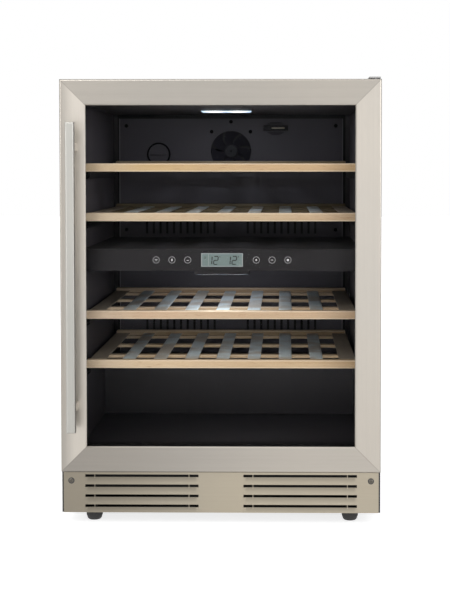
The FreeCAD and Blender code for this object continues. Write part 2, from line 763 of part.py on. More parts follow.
def shelf(n, top):
    """Wooden rails and cross bars, with metal slats on them and a folded runner at each side."""
    start, slat_low = railFront + railThick, top - slatThick
    backHalf, backTop = roomHalf - backRailClear, top + backRailRise
    crossHalf = runnerWall - crossInset
    wood = [block(f"shelf_{n}_front_rail", (-railHalf, railFront, top - railHigh), (railHalf, start, top)),
            block(f"shelf_{n}_back_rail", (-backHalf, railBack, backTop - railHigh),
                  (backHalf, railBack + railThick, backTop))]
    for k, share in enumerate((0.17, 0.555, 0.915)):
        middle = start + (railBack - start) * share
        wood.append(block(f"shelf_{n}_cross_{k}", (-crossHalf, middle - crossWide / 2, slat_low - crossThick),
                          (crossHalf, middle + crossWide / 2, slat_low)))
    group(f"shelf_{n}_wood", wood)
    metal = [block(f"shelf_{n}_slat_{k}", (slatPitch * (k - 3) - slatWide / 2, start, slat_low),
                   (slatPitch * (k - 3) + slatWide / 2, railBack, top)) for k in range(7)]
    metal += [shelf_runner(n, top, side, name) for side, name in SIDES]
    group(f"shelf_{n}_metalwork", metal)


for n, top in enumerate(shelfTops, 1):
    shelf(n, top)
group("slide_rails", [slide_rail(n, top, side, name) for n, top in enumerate(shelfTops, 1)
                      for side, name in SIDES])

# ---------------------------------------------------------------- divider, controls and lamps
block("zone_divider", (-roomHalf, dividerFront, dividerLow), (roomHalf, roomBack, dividerHigh))
fascia_blank = block("fascia_blank", (-railHalf, fasciaFront, dividerLow),
                     (railHalf, dividerFront, dividerHigh))
displayHalf = displayWide / 2
displayLow, displayTop = dividerMiddle - displayHigh / 2, dividerMiddle + displayHigh / 2
boardFront = fasciaFront + fasciaThick + boardGap
display_hole = block("display_hole", (-displayHalf, fasciaFront - over, displayLow),
                     (displayHalf, fasciaFront + fasciaThick + over, displayTop))
fascia_hollow = block("fascia_hollow",
                      (-(railHalf - fasciaThick), fasciaFront + fasciaThick, dividerLow + fasciaThick),
                      (railHalf - fasciaThick, dividerFront + over, dividerHigh - fasciaThick))
cut("control_fascia", fascia_blank, [fascia_hollow, display_hole])
block("display_module", (-displayHalf, fasciaFront + displaySink, displayLow),
      (displayHalf, boardFront, displayTop))
block("control_board", (-boardWide / 2, boardFront, dividerLow + fasciaThick),
      (boardWide / 2, boardFront + boardThick, dividerHigh - fasciaThick))
group("touch_keys", [
    ring(f"touch_key_{name}_{n}", ((keyNear + keyPitch * n) * side, fasciaFront - keyProud, dividerMiddle),
         keyRadius, keyRadius - keyRing, keyProud, "+y") for side, name in SIDES for n in range(3)])
lampHalf = lampWide / 2
lampFront, lowLampFront = fasciaFront + lampSetback - lampLong / 2, fasciaFront + lowLampSetback
group("lamps", [
    block("lamp_upper", (-lampHalf, lampFront, roomCeiling - lampDrop),
          (lampHalf, lampFront + lampLong, roomCeiling)),
    block("lamp_lower", (-lampHalf, lowLampFront, dividerLow - lampDropLow),
          (lampHalf, lowLampFront + lampLong, dividerLow))])


# ---------------------------------------------------------------- air panels, fans and sensors
def air_panel(tag, low_edge, high_edge, slot_low, openings):
    """A shallow tray standing on the back wall, open towards it, with two fields of upright slots."""
    blank = block(f"air_blank_{tag}", (-panelHalf, panelFront, low_edge), (panelHalf, roomBack, high_edge))
    inside = panelHalf - panelThick
    hollow = block(f"air_hollow_{tag}", (-inside, panelFront + panelThick, low_edge + panelThick),
                   (inside, roomBack + over, high_edge - panelThick))
    slots = []
    for side, name in SIDES:
        for n in range(11):
            middle = (slotNear + slotPitch * n) * side
            slots.append(block(f"slot_{tag}_{name}_{n}", (middle - slotWide / 2, panelFront - over, slot_low),
                               (middle + slotWide / 2, panelFront + panelThick + over, slot_low + slotHigh)))
    cut(f"{tag}_air_panel", blank, [hollow] + slots + openings)


air_panel("upper", dividerHigh, upperPanelTop, upperSlotLow, [
    rod("fan_opening", (0, panelFront - over, fanHeight), fanRadius, panelThick + 2 * over, "+y"),
    rod("filter_opening", (-filterAcross, panelFront - over, filterHeight), filterBore,
        panelThick + 2 * over, "+y")])
air_panel("lower", stepTop, dividerLow, lowerSlotLow, [])

filterBack = panelFront - seatGap
fuse("filter_cap", [
    rod("filter_face", (-filterAcross, filterBack - filterFace, filterHeight), filterRadius,
        filterFace, "+y"),
    rod("filter_plug", (-filterAcross, filterBack - over, filterHeight), filterBore - shaftPlay,
        filterPlugLong, "+y"),
    block("filter_grip", (-filterAcross - filterGripLong / 2, filterBack - filterFace - filterGrip,
                          filterHeight - filterFace / 2),
          (-filterAcross + filterGripLong / 2, filterBack - filterFace + over,
           filterHeight + filterFace / 2))])


def probe(tag, height):
    """A temperature sensor: a clip on the air panel with the bulb sticking out of it."""
    clipFar = probeNear + probeClipWide
    clip = block(f"probe_clip_{tag}", (probeNear, panelFront - probeClipDeep, height - probeClipHigh / 2),
                 (clipFar, panelFront, height + probeClipHigh / 2))
    bulb = rod(f"probe_bulb_{tag}", (clipFar - over, panelFront - probeClipDeep / 2, height), probeBulb,
               probeBulbLong, "+x")
    return fuse(f"probe_{tag}", [clip, bulb])


group("temperature_probes", [probe("upper", upperPanelTop - probeDrop),
                             probe("lower", dividerLow - probeDrop)])
screwHalf = panelHalf - panelScrewInset
screw_rows = (upperPanelTop - panelScrewInset, dividerHigh + panelScrewInset,
              dividerLow - panelScrewInset, stepTop + panelScrewInset)
screw_spots = [(screwHalf * side, row) for row in screw_rows for side, _ in SIDES]
screw_spots += [(fanScrewOut * side, fanHeight + fanScrewOut * up) for side in (-1, 1) for up in (-1, 1)]
group("cabinet_screws", kick_screws + [
    rod(f"panel_screw_{n}", (across, panelFront - panelScrewThick, height), panelScrewHead,
        panelScrewThick, "+y") for n, (across, height) in enumerate(screw_spots)])


def impeller(label, spot, along):
    """A hub with a bore for its shaft, and seven pitched blades trimmed to the fan's radius."""
    tip, bore = fanRadius - fanClear, fanShaft + shaftPlay
    blade_long, blade_chord = tip - fanHub + 2 * over, fanDeep * 1.6
    parts = [ring(f"{label}_hub", spot, fanHub, bore, fanDeep, along)]
    centre = FreeCAD.Placement(FreeCAD.Vector(*[Size.of(p).value for p in spot]), TURN[along])
    for n in range(7):
        blade = doc.addObject("Part::Box", f"{label}_blade_{n}")
        bind(blade, "Length", blade_long)
        bind(blade, "Width", fanBladeThick)
        bind(blade, "Height", blade_chord)
        spin = FreeCAD.Rotation(FreeCAD.Vector(0, 0, 1), 360 / 7 * n)
        pitch = FreeCAD.Rotation(FreeCAD.Vector(1, 0, 0), 58)
        root = FreeCAD.Vector((fanHub - over).value, 0, 0)
        middle = FreeCAD.Vector(0, -(fanBladeThick / 2).value, -(blade_chord / 2).value)
        blade.Placement = centre.multiply(
            FreeCAD.Placement(FreeCAD.Vector(0, 0, (fanDeep / 2).value), spin)).multiply(
            FreeCAD.Placement(root, pitch)).multiply(FreeCAD.Placement(middle, FreeCAD.Rotation()))
        parts.append(blade)
    thing = doc.addObject("Part::Common", label)
    thing.Label = label
    thing.Base = fuse(f"{label}_blank", parts)
    thing.Tool = ring(f"{label}_sweep", spot, tip, bore, fanDeep, along)


def fan_housing(tag, plate_low, plate_high, spot, along, deep):
    """A square plate with the impeller's bore, and a bridge that carries the motor and its shaft."""
    def ahead(distance):
        return [Size.of(p) + distance if axis == along[1] else p for p, axis in zip(spot, "xyz")]

    def strip(label, low_at, high_at, middle_axis):
        low, high = list(plate_low), list(plate_high)
        for k, axis in enumerate("xyz"):
            if axis == along[1]:
                low[k], high[k] = Size.of(spot[k]) + low_at, Size.of(spot[k]) + high_at
            elif axis == middle_axis:
                low[k], high[k] = spot[k] - fanBridge / 2, spot[k] + fanBridge / 2
        return block(label, low, high)

    motor_start = fanDeep + 1.5 * over
    bridge_start = motor_start + fanMotorDeep - fanBridgeThick
    square = strip(f"fan_square_{tag}", 0, deep, None)
    bore = rod(f"fan_bore_{tag}", ahead(-over), fanRadius + fanClear, deep + 2 * over, along)
    return fuse(f"fan_housing_{tag}", [
        cut(f"fan_bored_{tag}", square, [bore]),
        strip(f"fan_bridge_{tag}", bridge_start, bridge_start + fanBridgeThick, "z"),
        rod(f"fan_motor_{tag}", ahead(motor_start), fanHub, fanMotorDeep, along),
        rod(f"fan_shaft_{tag}", ahead(1.5 * over), fanShaft, motor_start, along)])


fan_start, fanHalf = panelFront + panelThick, fanHousing / 2
housings = []
for tag, height in (("upper", fanHeight), ("lower", lowerFanHeight)):
    housings.append(fan_housing(tag, (-fanHalf, fan_start, height - fanHalf),
                                (fanHalf, fan_start, height + fanHalf),
                                (0, fan_start, height), "+y", fanHousingDeep))
    impeller(f"{tag}_fan_impeller", (0, fan_start + over, height), "+y")
group("circulation_fan_housings", housings)


def evaporator(tag, low_edge):
    """A cold plate with four tube ridges, on two legs from the back wall."""
    half, start = panelHalf - evaporatorInset, roomBack - evaporatorStand
    middle = start + evaporatorThick / 2
    parts = [block(f"evaporator_flat_{tag}", (-half, start, low_edge),
                   (half, start + evaporatorThick, low_edge + evaporatorHigh))]
    parts += [rod(f"evaporator_tube_{tag}_{n}", (-half + evaporatorPitch, middle,
                                                 low_edge + evaporatorPitch * (n + 1)),
                  evaporatorTube, (half - evaporatorPitch) * 2, "+x") for n in range(4)]
    parts += [rod(f"evaporator_leg_{tag}_{name}", (half * 0.75 * side, middle, low_edge + evaporatorHigh / 2),
                  evaporatorTube + over, evaporatorStand - evaporatorThick / 2, "+y") for side, name in SIDES]
    return fuse(f"evaporator_{tag}", parts)


group("evaporator_plates", [evaporator("upper", upperSlotLow + slotHigh + over),
                            evaporator("lower", stepTop + evaporatorRise)])

# ---------------------------------------------------------------- machine room
baseHalf, baseDeepHalf = compressorBase / 2, compressorBaseDeep / 2
canTop = compressorLow + compressorHigh
fuse("compressor", [
    block("compressor_base", (compressorAcross - baseHalf, compressorBack - baseDeepHalf, compressorLow),
          (compressorAcross + baseHalf, compressorBack + baseDeepHalf, compressorLow + compressorBaseThick)),
    rod("compressor_can", (compressorAcross, compressorBack, compressorLow + over), compressorRadius,
        compressorHigh - compressorDome - over),
    rod("compressor_dome", (compressorAcross, compressorBack, canTop - compressorDome), compressorRadius,
        compressorDome, tip=compressorTop)])
mountAcross, mountBack = baseHalf - mountInset, baseDeepHalf - mountInset
group("compressor_mounts", [
    rod(f"compressor_mount_{name}_{where}",
        (compressorAcross + mountAcross * side, compressorBack + mountBack * up, panTop),
        mountRadius, mountHigh)
    for side, name in SIDES for up, where in ((-1, "front"), (1, "back"))])

trayTop = machineTop - trayGap
trayLow, trayHalf = trayTop - trayHigh, trayWide / 2
trayFront, trayBack = machineFront + trayInset, backFace - trayInset
tray_outer = block("tray_outer", (compressorAcross - trayHalf, trayFront, trayLow),
                   (compressorAcross + trayHalf, trayBack, trayTop))
trayInside = trayHalf - trayWall
tray_inner = block("tray_inner", (compressorAcross - trayInside, trayFront + trayWall, trayLow + trayWall),
                   (compressorAcross + trayInside, trayBack - trayWall, trayTop + over))
tray_post = rod("tray_post", (compressorAcross, compressorBack, canTop), trayPost,
                trayLow + trayWall / 2 - canTop)
cut("drain_tray", fuse("tray_blank", [tray_outer, tray_post]), [tray_inner])

condenserHalf, finCount = condenserWide / 2, 12
condenserNear, condenserFar = condenserAcross + condenserHalf, condenserAcross - condenserHalf
condenserTop = condenserLow + condenserHigh
coil = []
for n in range(finCount):
    start = condenserFront + (condenserLong - condenserFin) * (n / (finCount - 1))
    coil.append(block(f"condenser_fin_{n}", (condenserFar, start, condenserLow),
                      (condenserNear, start + condenserFin, condenserTop)))
for row in range(4):
    for k in (-1, 0, 1):
        coil.append(rod(f"condenser_tube_{row}_{k + 1}",
                        (condenserAcross + condenserTubePitch * k, condenserFront - pipeRadius * 2,
                         condenserLow + condenserTubePitch * (row + 0.6)),
                        condenserTube, condenserLong + pipeRadius * 4, "+y"))
for n, start in enumerate((condenserStand / 2, condenserLong * 0.6)):
    coil.append(block(f"condenser_stand_{n}", (condenserFar, condenserFront + start, panTop),
                      (condenserNear, condenserFront + start + condenserStand, condenserLow + over)))
fuse("condenser_coil", coil)

wallAcross = condenserNear + condenserFanGap
fanBack, fanMiddle = condenserFront + condenserLong / 2, panTop + fanHousing / 2
group("condenser_fan_housing", [
    fan_housing("condenser", (wallAcross, fanBack - fanHalf, panTop),
                (wallAcross, fanBack + fanHalf, panTop + fanHousing),
                (wallAcross, fanBack, fanMiddle), "+x", fanHousingDeep)])
impeller("condenser_fan_impeller", (wallAcross + over, fanBack, fanMiddle), "+x")

block("mains_box", (boxFar - boxWide, machineFront + boxFront, panTop),
      (boxFar, backFace - footBack - collarRadius - boxBack / 3, panTop + boxHigh))
grille_blank = block("grille_blank", (-halfWidth, backFace, footRise),
                     (halfWidth, backFace + sheetMetal, machineTop))
grille_holes = [rod("gland_seat", (glandAcross, backFace - over, glandHeight), glandRadius + glandWall,
                    sheetMetal + 2 * over, "+y")]
for side, name in SIDES:
    low, high = spread(side, grilleNear, glandAcross - grilleEnd)
    for n in range(9):
        low_edge = footRise + grilleRise + grillePitch * n
        grille_holes.append(block(f"grille_slot_{name}_{n}", (low, backFace - over, low_edge),
                                  (high, backFace + sheetMetal + over, low_edge + grilleSlot)))
cut("rear_grille", grille_blank, grille_holes)
glandHalf = glandLong / 2
gland_body = fuse("gland_body", [
    rod("gland_neck", (glandAcross, backFace - glandHalf, glandHeight), glandRadius + glandWall,
        glandHalf + glandRim, "+y"),
    rod("gland_flange", (glandAcross, backFace + sheetMetal, glandHeight), glandRadius + glandWall + glandRim,
        glandHalf - sheetMetal, "+y")])
cut("cable_gland", gland_body, [rod("gland_bore", (glandAcross, backFace - glandLong, glandHeight),
                                    glandRadius, glandLong * 2, "+y")])


def pipe(label, points):
    """A bent copper tube through points, with a ball at each turn."""
    spots = [FreeCAD.Vector(*[Size.of(v).value for v in point]) for point in points]
    parts = [Part.makeCylinder(pipeRadius.value, (b - a).Length, a, b - a) for a, b in zip(spots, spots[1:])]
    parts += [Part.makeSphere(pipeRadius.value, spot) for spot in spots[1:-1]]
    thing = doc.addObject("Part::Feature", label)
    thing.Label = label
    thing.Shape = parts[0].multiFuse(parts[1:]).removeSplitter()
    return thing


canFront, canBack = compressorAcross - compressorRadius - seatGap, compressorBack + compressorRadius + seatGap
lineAcross = canFront - pipeRadius * 8
dischargeBack = condenserFront + pipeRadius * 3
dischargeLow, dischargeHigh = panTop + mountHigh * 4, condenserTop + pipeRadius * 2
suctionBack, suctionHigh = backFace - pipeRadius * 2.5, compressorLow + compressorHigh * 0.6
suctionAcross = compressorAcross - trayHalf - pipeRadius * 5
group("refrigerant_lines", [
    pipe("line_discharge", [
        (canFront, compressorBack, dischargeLow), (lineAcross, compressorBack, dischargeLow),
        (lineAcross, dischargeBack, dischargeLow), (lineAcross, dischargeBack, dischargeHigh),
        (condenserAcross, dischargeBack, dischargeHigh),
        (condenserAcross, dischargeBack, condenserTop + seatGap)]),
    pipe("line_suction", [
        (compressorAcross, canBack, suctionHigh), (compressorAcross, suctionBack, suctionHigh),
        (suctionAcross, suctionBack, suctionHigh), (suctionAcross, suctionBack, machineTop)])])

# ---------------------------------------------------------------- check and write
NODES = [
    "side_panel_left", "side_panel_right", "top_panel", "back_panel", "wall_spacers", "base_pan",
    "front_crossbar", "foam_insulation", "inner_liner", "drain_tube", "kick_plate", "cabinet_screws",
    "upper_air_panel", "lower_air_panel", "temperature_probes", "circulation_fan_housings",
    "evaporator_plates", "zone_divider", "control_fascia", "display_module", "control_board",
    "touch_keys", "lamps", "slide_rails", "compressor", "compressor_mounts", "drain_tray",
    "condenser_coil", "condenser_fan_housing", "mains_box", "rear_grille", "cable_gland",
    "refrigerant_lines", "hinge_brackets", "door_stile_left", "door_stile_right", "door_rail_top",
    "door_rail_bottom", "glass_panes", "glass_spacer", "door_gasket", "handle_bar", "handle_posts",
    "hinge_bushes", "upper_fan_impeller", "lower_fan_impeller", "condenser_fan_impeller", "filter_cap",
]
NODES += [f"foot_{label}" for label, _, _ in foot_spots()]
NODES += [f"shelf_{n}_{part}" for n in range(1, 5) for part in ("wood", "metalwork")]

doc.recompute()
for thing in doc.Objects:
    if "Invalid" in thing.State or "Error" in thing.State:
        raise RuntimeError(f"{thing.Name} did not build: {thing.State}")
shapes = {node: doc.getObjectsByLabel(node)[0].Shape for node in NODES}
for node, shape in shapes.items():
    if shape.isNull() or not shape.isValid() or not shape.Solids:
        raise RuntimeError(f"{node} is not a valid solid")
os.makedirs("parts", exist_ok=True)
for node, shape in shapes.items():
    shape.exportStep(f"parts/{node}.step")
print(len(NODES), "nodes written")
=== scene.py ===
import math

import bmesh
import bpy
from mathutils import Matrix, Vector


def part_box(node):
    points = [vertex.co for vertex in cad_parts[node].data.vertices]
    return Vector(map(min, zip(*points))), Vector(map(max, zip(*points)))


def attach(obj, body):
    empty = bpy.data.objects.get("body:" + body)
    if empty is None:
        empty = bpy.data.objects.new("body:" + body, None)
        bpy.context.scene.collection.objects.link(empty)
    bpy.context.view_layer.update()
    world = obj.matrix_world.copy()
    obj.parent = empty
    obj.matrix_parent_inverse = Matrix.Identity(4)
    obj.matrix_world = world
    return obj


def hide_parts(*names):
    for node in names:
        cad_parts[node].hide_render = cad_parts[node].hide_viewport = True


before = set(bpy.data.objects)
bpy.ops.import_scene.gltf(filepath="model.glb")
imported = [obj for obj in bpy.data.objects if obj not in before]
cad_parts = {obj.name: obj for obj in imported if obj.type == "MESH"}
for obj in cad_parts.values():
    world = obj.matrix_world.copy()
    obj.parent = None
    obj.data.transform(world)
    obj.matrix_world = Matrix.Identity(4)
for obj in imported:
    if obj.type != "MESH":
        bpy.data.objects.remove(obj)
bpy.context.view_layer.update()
scene = bpy.context.scene
print("frame loaded with", len(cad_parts), "nodes")

# camera: a long lens, level with the upper zone and a little to the right of the door's middle
viewer = {"place": (0.1177, -2.7091, 0.6707), "aim": (-0.0129, 1.0, -0.0373),
          "lens": 79.43, "shift": (-0.07, -0.14)}
eye = bpy.data.objects.new("studioCamera", bpy.data.cameras.new("studioCamera"))
eye.data.lens = viewer["lens"]
eye.data.shift_x, eye.data.shift_y = viewer["shift"]
eye.location = viewer["place"]
eye.rotation_euler = Vector(viewer["aim"]).to_track_quat("-Z", "Y").to_euler()
scene.collection.objects.link(eye)
scene.camera = eye
scene.view_settings.view_transform = "Standard"


class Num:
    # a number flowing between nodes, so that formulas read as plain Python
    def __init__(self, tree, socket):
        self.tree = tree
        self.socket = socket

    def maths(self, operation, first, second=None):
        node = self.tree.nodes.new("ShaderNodeMath")
        node.operation = operation
        plug(self.tree, node.inputs[0], first)
        if second is not None:
            plug(self.tree, node.inputs[1], second)
        return Num(self.tree, node.outputs[0])

    def __add__(self, other):
        return self.maths("ADD", self, other)

    def __radd__(self, other):
        return self.maths("ADD", other, self)

    def __sub__(self, other):
        return self.maths("SUBTRACT", self, other)

    def __rsub__(self, other):
        return self.maths("SUBTRACT", other, self)

    def __mul__(self, other):
        return self.maths("MULTIPLY", self, other)

    def __rmul__(self, other):
        return self.maths("MULTIPLY", other, self)

    def __truediv__(self, other):
        return self.maths("DIVIDE", self, other)

    def __rtruediv__(self, other):
        return self.maths("DIVIDE", other, self)

    def __abs__(self):
        return self.maths("ABSOLUTE", self)


def plug(tree, socket, value):
    # a link for a flowing value, else the socket's own number or colour
    if isinstance(value, Num):
        tree.links.new(value.socket, socket)
    elif socket.type == "RGBA" and len(value) == 3:
        socket.default_value = (*value, 1.0)
    else:
        socket.default_value = value


class Wiring:
    # the nodes of a material, a world or a geometry tree
    def __init__(self, tree):
        self.tree = tree

    def node(self, kind, settings=None, sockets=None, out=0):
        made = self.tree.nodes.new(kind)
        for setting, value in (settings or {}).items():
            setattr(made, setting, value)
        for key, value in (sockets or {}).items():
            plug(self.tree, made.inputs[key], value)
        return Num(self.tree, made.outputs[out])

    def band(self, value, low, high, start=0.0, end=1.0):
        return self.node("ShaderNodeMapRange", {"interpolation_type": "SMOOTHSTEP"}, {
            "Value": value, "From Min": low, "From Max": high, "To Min": start, "To Max": end})

    def blend(self, share, first, second):
        return self.node("ShaderNodeMix", {"data_type": "RGBA"}, {0: share, 6: first, 7: second}, out=2)

    def axes(self, vector):
        apart = self.node("ShaderNodeSeparateXYZ", None, {0: vector})
        return [Num(self.tree, socket) for socket in apart.socket.node.outputs]


black = (0.0, 0.0, 0.0)
even = (1, 1, 1)


class Finish(Wiring):
    # one material, on object coordinates in metres
    def __init__(self, name):
        self.material = bpy.data.materials.new(name)
        self.material.use_nodes = True
        super().__init__(self.material.node_tree)
        self.tree.nodes.clear()
        self.output = self.tree.nodes.new("ShaderNodeOutputMaterial")
        self.spot = self.node("ShaderNodeTexCoord", out="Object")

    def stretched(self, scale, stretch):
        return self.node("ShaderNodeMapping", None, {
            "Vector": self.spot, "Scale": [scale * part for part in stretch]})

    def noise(self, scale, stretch, detail, rough):
        return self.node("ShaderNodeTexNoise", None, {
            "Vector": self.stretched(scale, stretch), "Scale": 1.0, "Detail": detail, "Roughness": rough})

    def cells(self, scale, stretch, out):
        return self.node("ShaderNodeTexVoronoi", None, {
            "Vector": self.stretched(scale, stretch), "Scale": 1.0}, out=out)

    def attribute(self, name):
        return self.node("ShaderNodeAttribute", {"attribute_name": name}, out="Fac")

    def bump(self, height, distance, strength):
        return self.node("ShaderNodeBump", None, {
            "Height": height, "Distance": distance, "Strength": strength})

    def toned(self, colour, place, tones):
        # painted shade and reflection: each entry is an axis, where it starts and ends, and the share of the
        # colour left at either end
        for axis, low, high, first, last in tones:
            lost = 1.0 - self.band(place[axis], low, high, first, last)
            colour = self.blend(lost, colour, black)
        return colour

    def principled(self, sockets):
        return self.node("ShaderNodeBsdfPrincipled", None, sockets)

    def show(self, shader):
        self.tree.links.new(shader.socket, self.output.inputs["Surface"])
        return self.material


# ---- finishes
def brushed(name, s):
    # sheet steel with a satin grain along one axis, faint marks and warm and cool patches
    f = Finish(name)
    fine = [1.0, 1.0, 1.0]
    fine[s["along"]] = s["smear"]
    grain = f.noise(s["grain"], fine, 4.0, 0.7)
    broad = f.noise(s["grain"] * 0.09, fine, 3.0, 0.6)
    patch = f.noise(s["patch"], even, 2.0, 0.5)
    marks = f.band(f.noise(s["grain"] * 0.35, fine, 2.0, 0.4), 0.66, 0.72)
    tint = f.blend(f.band(patch, *s.get("split", (0.0, 1.0))), s["cool"], s["warm"])
    dark = f.blend(0.5, black, s["cool"])
    shade = f.blend(f.band(grain * 0.6 + broad * 0.4, 0.3, 0.7, s["contrast"], 0.0), tint, dark)
    colour = f.blend(marks * 0.12, shade, s["warm"])
    place = f.axes(f.spot)
    # painted shade and reflection: the colour darkened by position along the listed axes
    colour = f.toned(colour, place, s.get("tones", ()))
    # painted shade: each louvre lip darker toward its top, under the slot
    if "hollow" in s:
        colour = f.blend(f.attribute("hollow") * s["hollow"], colour, black)
    if "seam" in s:
        # a fine dark line along each mitre of the door's frame
        side, top, bottom = s["seam"]
        out = abs(place[0]) - side
        apart = abs(out - (place[2] - top)) * f.band(place[2], bottom + 0.1, bottom + 0.11)
        apart = apart + abs(out - (bottom - place[2])) * f.band(place[2], top - 0.1, top - 0.11)
        colour = f.blend(f.band(apart, 0.0013, 0.0004) * 0.3, colour, (0.05, 0.045, 0.04))
    rough = s["rough"] + (grain - 0.5) * s["roughSpread"] + (patch - 0.5) * 0.05
    return f.show(f.principled({
        "Base Color": colour, "Metallic": s["metal"], "Roughness": rough,
        "Normal": f.bump(grain, s["relief"], 0.35)}))


def moulded(name, s):
    # plastic or rubber with a fine spark-eroded texture, uneven gloss and light scuffs
    f = Finish(name)
    texture = f.noise(s["grain"], even, 3.0, 0.6)
    patch = f.noise(s["patch"], even, 3.0, 0.5)
    scuff = f.band(f.noise(90, (0.25, 1, 2.2), 4.0, 0.6), 0.68, 0.76)
    colour = f.blend(f.band(patch, 0.3, 0.7), s["colour"], s["shade"])
    colour = f.blend(scuff * s["scuff"], colour, s["worn"])
    colour = f.blend(f.band(texture, 0.45, 0.75) * 0.2, colour, s["worn"])
    place = f.axes(f.spot)
    # painted shade: the colour darkened by position along the listed axes
    colour = f.toned(colour, place, s.get("tones", ()))
    # painted highlight: a lighter strip along the side edges, where the panel's edge would catch light
    if "edge" in s:
        rubbed = f.band(abs(place[0]), s["edge"] - 0.0006, s["edge"])
        colour = f.blend(rubbed * 0.7, colour, s["rubbed"])
    if "duct" in s:
        # no light reaches the liner's back wall behind the air panels
        wide, deep, low = s["duct"]
        unlit = f.band(place[1], deep - 0.003, deep) * f.band(place[2], low - 0.004, low)
        unlit = unlit * f.band(abs(place[0]), wide + 0.002, wide)
        colour = f.blend(unlit * 0.9, colour, black)
    rough = s["rough"] + (patch - 0.5) * s["roughSpread"] + scuff * 0.08
    return f.show(f.principled({
        "Base Color": colour, "Roughness": rough, "Specular IOR Level": s["gloss"],
        "Normal": f.bump(texture, s["relief"], 0.6)}))


def painted(name, s):
    # powder coat: orange peel over steel, dust in the hollows, rubbed through a little
    f = Finish(name)
    peel = f.noise(s["peel"], even, 2.0, 0.5)
    patch = f.noise(4.0, even, 4.0, 0.6)
    rub = f.band(f.noise(55, (1, 1, 0.3), 5.0, 0.65), 0.7, 0.78)
    colour = f.blend(patch, s["colour"], s["shade"])
    colour = f.blend(rub * 0.35, colour, s["worn"])
    rough = s["rough"] + (patch - 0.5) * 0.14 + (peel - 0.5) * 0.1
    return f.show(f.principled({
        "Base Color": colour, "Roughness": rough, "Coat Weight": s["coat"], "Coat Roughness": 0.3,
        "Specular IOR Level": 0.35,
        "Normal": f.bump(peel, s["relief"], 0.7)}))


def zincPlated(name, s):
    # hot-dip spangle: each crystal has its own brightness and gloss
    f = Finish(name)
    wobble = f.noise(s["spangle"] * 2.5, even, 2.0, 0.5)
    crystal = f.cells(s["spangle"], (1, 0.9, 1.15), "Color")
    tone = f.axes(crystal)[0]
    patch = f.noise(3.0, even, 4.0, 0.6)
    colour = f.blend(tone * 0.6 + wobble * 0.4, s["dark"], s["light"])
    colour = f.blend(f.band(patch, 0.5, 0.75) * 0.4, colour, s["bloom"])
    rough = s["rough"] + (tone - 0.5) * 0.16 + (patch - 0.5) * 0.1
    return f.show(f.principled({
        "Base Color": colour, "Metallic": 0.85, "Roughness": rough,
        "Normal": f.bump(tone * 0.5 + wobble * 0.5, 0.00012, 0.4)}))


def beech(name, s):
    # steamed beech: long straight grain and short dark ray flecks; the rounded arrises painted paler as a
    # highlight, the rails' left ends painted paler as light, the wood behind the front rail painted darker
    # as shade
    f = Finish(name)
    figure = f.noise(38, (0.055, 1.0, 1.0), 4.0, 0.55)
    fibre = f.noise(900, (0.015, 1.0, 1.0), 3.0, 0.6)
    cloud = f.noise(5.0, (0.5, 1.0, 1.0), 2.0, 0.5)
    flecks = f.band(f.noise(620, (0.09, 0.8, 1.0), 2.0, 0.5), 0.63, 0.7)
    arris = f.attribute("arris")
    ends = f.attribute("endGrain")
    colour = f.blend(f.band(figure, 0.3, 0.72), s["light"], s["dark"])
    colour = f.blend(f.band(cloud, 0.35, 0.7) * 0.45, colour, s["blush"])
    colour = f.blend(f.band(fibre, 0.52, 0.75) * 0.3, colour, s["vein"])
    colour = f.blend(flecks * 0.5, colour, s["vein"])
    # painted light: the rails paler toward their left ends, against the door frame's shadow
    leftEndLight = f.band(f.axes(f.spot)[0], s["leftEndLight"], s["leftEndLight"] - 0.09)
    colour = f.blend(leftEndLight * 0.42, colour, s["pale"])
    # painted highlight: the rounded edges paler
    colour = f.blend(arris * s["arris"], colour, s["pale"])
    colour = f.blend(ends * 0.55, colour, s["vein"])
    # painted shade: the wood behind the front rail darker, where less light reaches
    inner = f.band(f.axes(f.spot)[1], s["innerFrom"], s["innerFrom"] + 0.01)
    colour = f.blend(inner * s["oiled"], colour, s["oil"])
    rough = 0.46 + (fibre - 0.5) * 0.2 + flecks * 0.12
    return f.show(f.principled({
        "Base Color": colour, "Roughness": rough, "Specular IOR Level": 0.35,
        "Normal": f.bump(fibre * 0.7 + flecks * -0.3 + figure * 0.3, 0.00018, 0.6)}))


def paneGlass(name, s):
    # clear coated glass: see-through face on, brighter at a glance, with a faint film of dust
    f = Finish(name)
    film = f.noise(7.0, even, 5.0, 0.65)
    streak = f.noise(60, (0.2, 1, 0.08), 3.0, 0.5)
    gloss = f.principled({
        "Base Color": s["tint"], "Metallic": 0.0, "IOR": 1.5,
        "Roughness": 0.03 + f.band(film, 0.45, 0.8) * 0.05})
    clear = f.node("ShaderNodeBsdfTransparent", None, {"Color": s["through"]})
    shine = f.node("ShaderNodeFresnel", None, {"IOR": s["coating"]})
    share = shine * (0.9 + film * 0.2) + f.band(film * 0.6 + streak * 0.4, 0.52, 0.8) * s["film"]
    return f.show(f.node("ShaderNodeMixShader", None, {0: share, 1: clear, 2: gloss}))


def glowing(name, s):
    # a frosted diffuser with a brighter middle where the lamps sit behind it
    f = Finish(name)
    x = f.axes(f.spot)[0]
    hot = f.band(abs(abs(x) - s["lampGap"]), s["lampSpread"], 0.0)
    frost = f.noise(900, even, 2.0, 0.5)
    light = f.blend(hot, s["edge"], s["middle"])
    return f.show(f.principled({
        "Base Color": s["body"], "Roughness": 0.35 + frost * 0.2, "Emission Color": light,
        "Emission Strength": s["power"], "Normal": f.bump(frost, 0.0001, 0.4)}))


